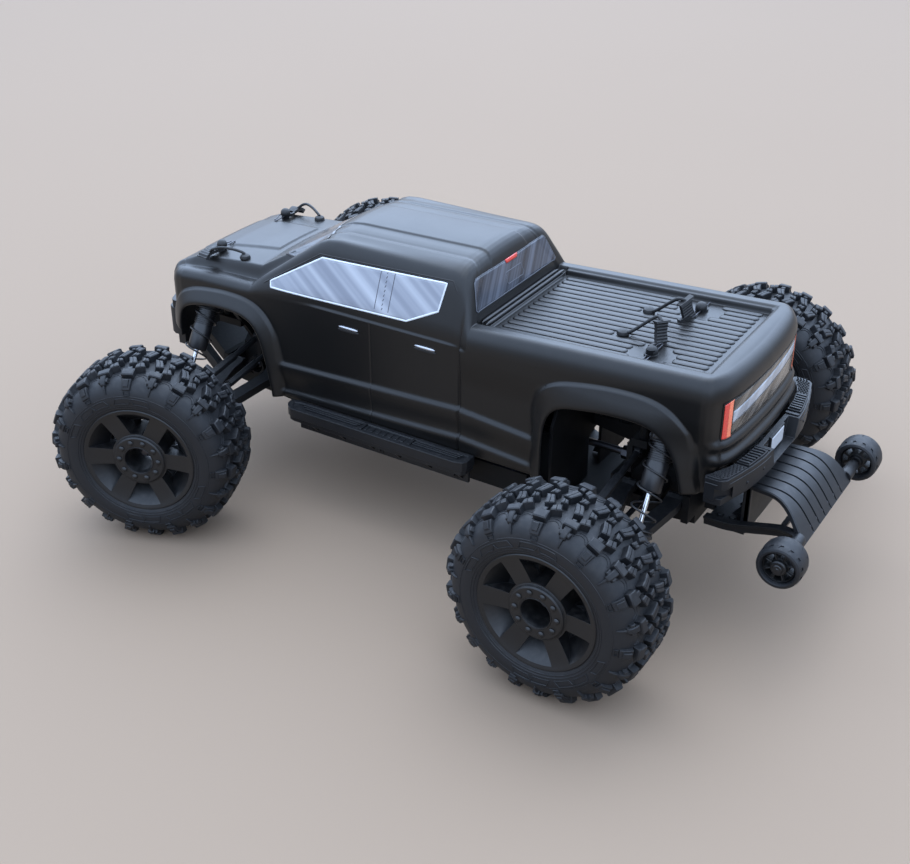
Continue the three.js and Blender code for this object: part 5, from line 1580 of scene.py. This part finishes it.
def stage():
    mesh = bpy.data.meshes.new("floor")
    corners = [(-1, -1), (1, -1), (1, 1), (-1, 1)]
    mesh.from_pydata([(x * FLOOR_HALF, y * FLOOR_HALF, 0) for x, y in corners], [], [(0, 1, 2, 3)])
    floor = bpy.data.objects.new("floor", mesh)
    mesh.materials.append(floor_material())
    bpy.context.scene.collection.objects.link(floor)

    world = bpy.data.worlds.new("overcast")
    bpy.context.scene.world = world
    world.use_nodes = True
    tree = world.node_tree
    where = add_node(tree, "TexCoord", {}).outputs["Generated"]
    height = add_node(tree, "SeparateXYZ", {"Vector": where}).outputs["Z"]
    ramp = add_node(tree, "ValToRGB", {"Fac": height})
    low, high = ramp.color_ramp.elements
    low.position, low.color = 0.04, (0.15, 0.155, 0.165, 1)
    high.position, high.color = 0.36, (0.70, 0.89, 1.22, 1)
    facing = add_node(tree, "VectorMath", {0: where, 1: BRIGHT_SKY}, operation="DOT_PRODUCT").outputs["Value"]
    glow = add_node(tree, "MapRange", {"Value": facing, "From Min": 0.45, "From Max": 0.97,
                                       "To Min": SKY_STRENGTH, "To Max": SKY_STRENGTH + BRIGHT_SKY_EXTRA},
                    interpolation_type="SMOOTHSTEP")
    plug(tree, tree.nodes["Background"], {"Color": ramp.outputs["Color"], "Strength": glow.outputs["Result"]})

    def lamp(name, location, target, size, energy, colour):
        light = bpy.data.lights.new(name, "AREA")
        light.shape = "DISK"
        light.size = size
        light.energy = energy
        light.color = colour
        obj = bpy.data.objects.new(name, light)
        obj.location = location
        obj.rotation_mode = "QUATERNION"
        obj.rotation_quaternion = (Vector(target) - Vector(location)).to_track_quat("-Z", "Y")
        bpy.context.scene.collection.objects.link(obj)

    lamp("overhead", (0.3, -0.6, 2.6), (0, 0, 0), 2.6, 20, (0.93, 0.97, 1.0))
    lamp("fill", (-1.9, 1.6, 1.3), (0, 0, 0.1), 1.8, 1.5, (1.0, 0.98, 0.95))
    lamp("far_side", (1.4, -2.2, 1.6), (0, 0, 0.1), 1.8, 3, (0.80, 0.92, 1.0))

    data = bpy.data.cameras.new("camera")
    data.sensor_width = 36
    data.lens = 54.52
    data.clip_start = 0.01
    data.clip_end = 50
    camera = bpy.data.objects.new("camera", data)
    level = math.cos(CAMERA_ELEVATION)
    back = Vector((math.sin(CAMERA_AZIMUTH) * level, -math.cos(CAMERA_AZIMUTH) * level,
                   math.sin(CAMERA_ELEVATION)))
    camera.location = CAMERA_AT
    camera.rotation_mode = "QUATERNION"
    camera.rotation_quaternion = (-back).to_track_quat("-Z", "Y")
    bpy.context.scene.collection.objects.link(camera)
    bpy.context.scene.camera = camera
    bpy.context.scene.view_settings.view_transform = "Standard"


stage()
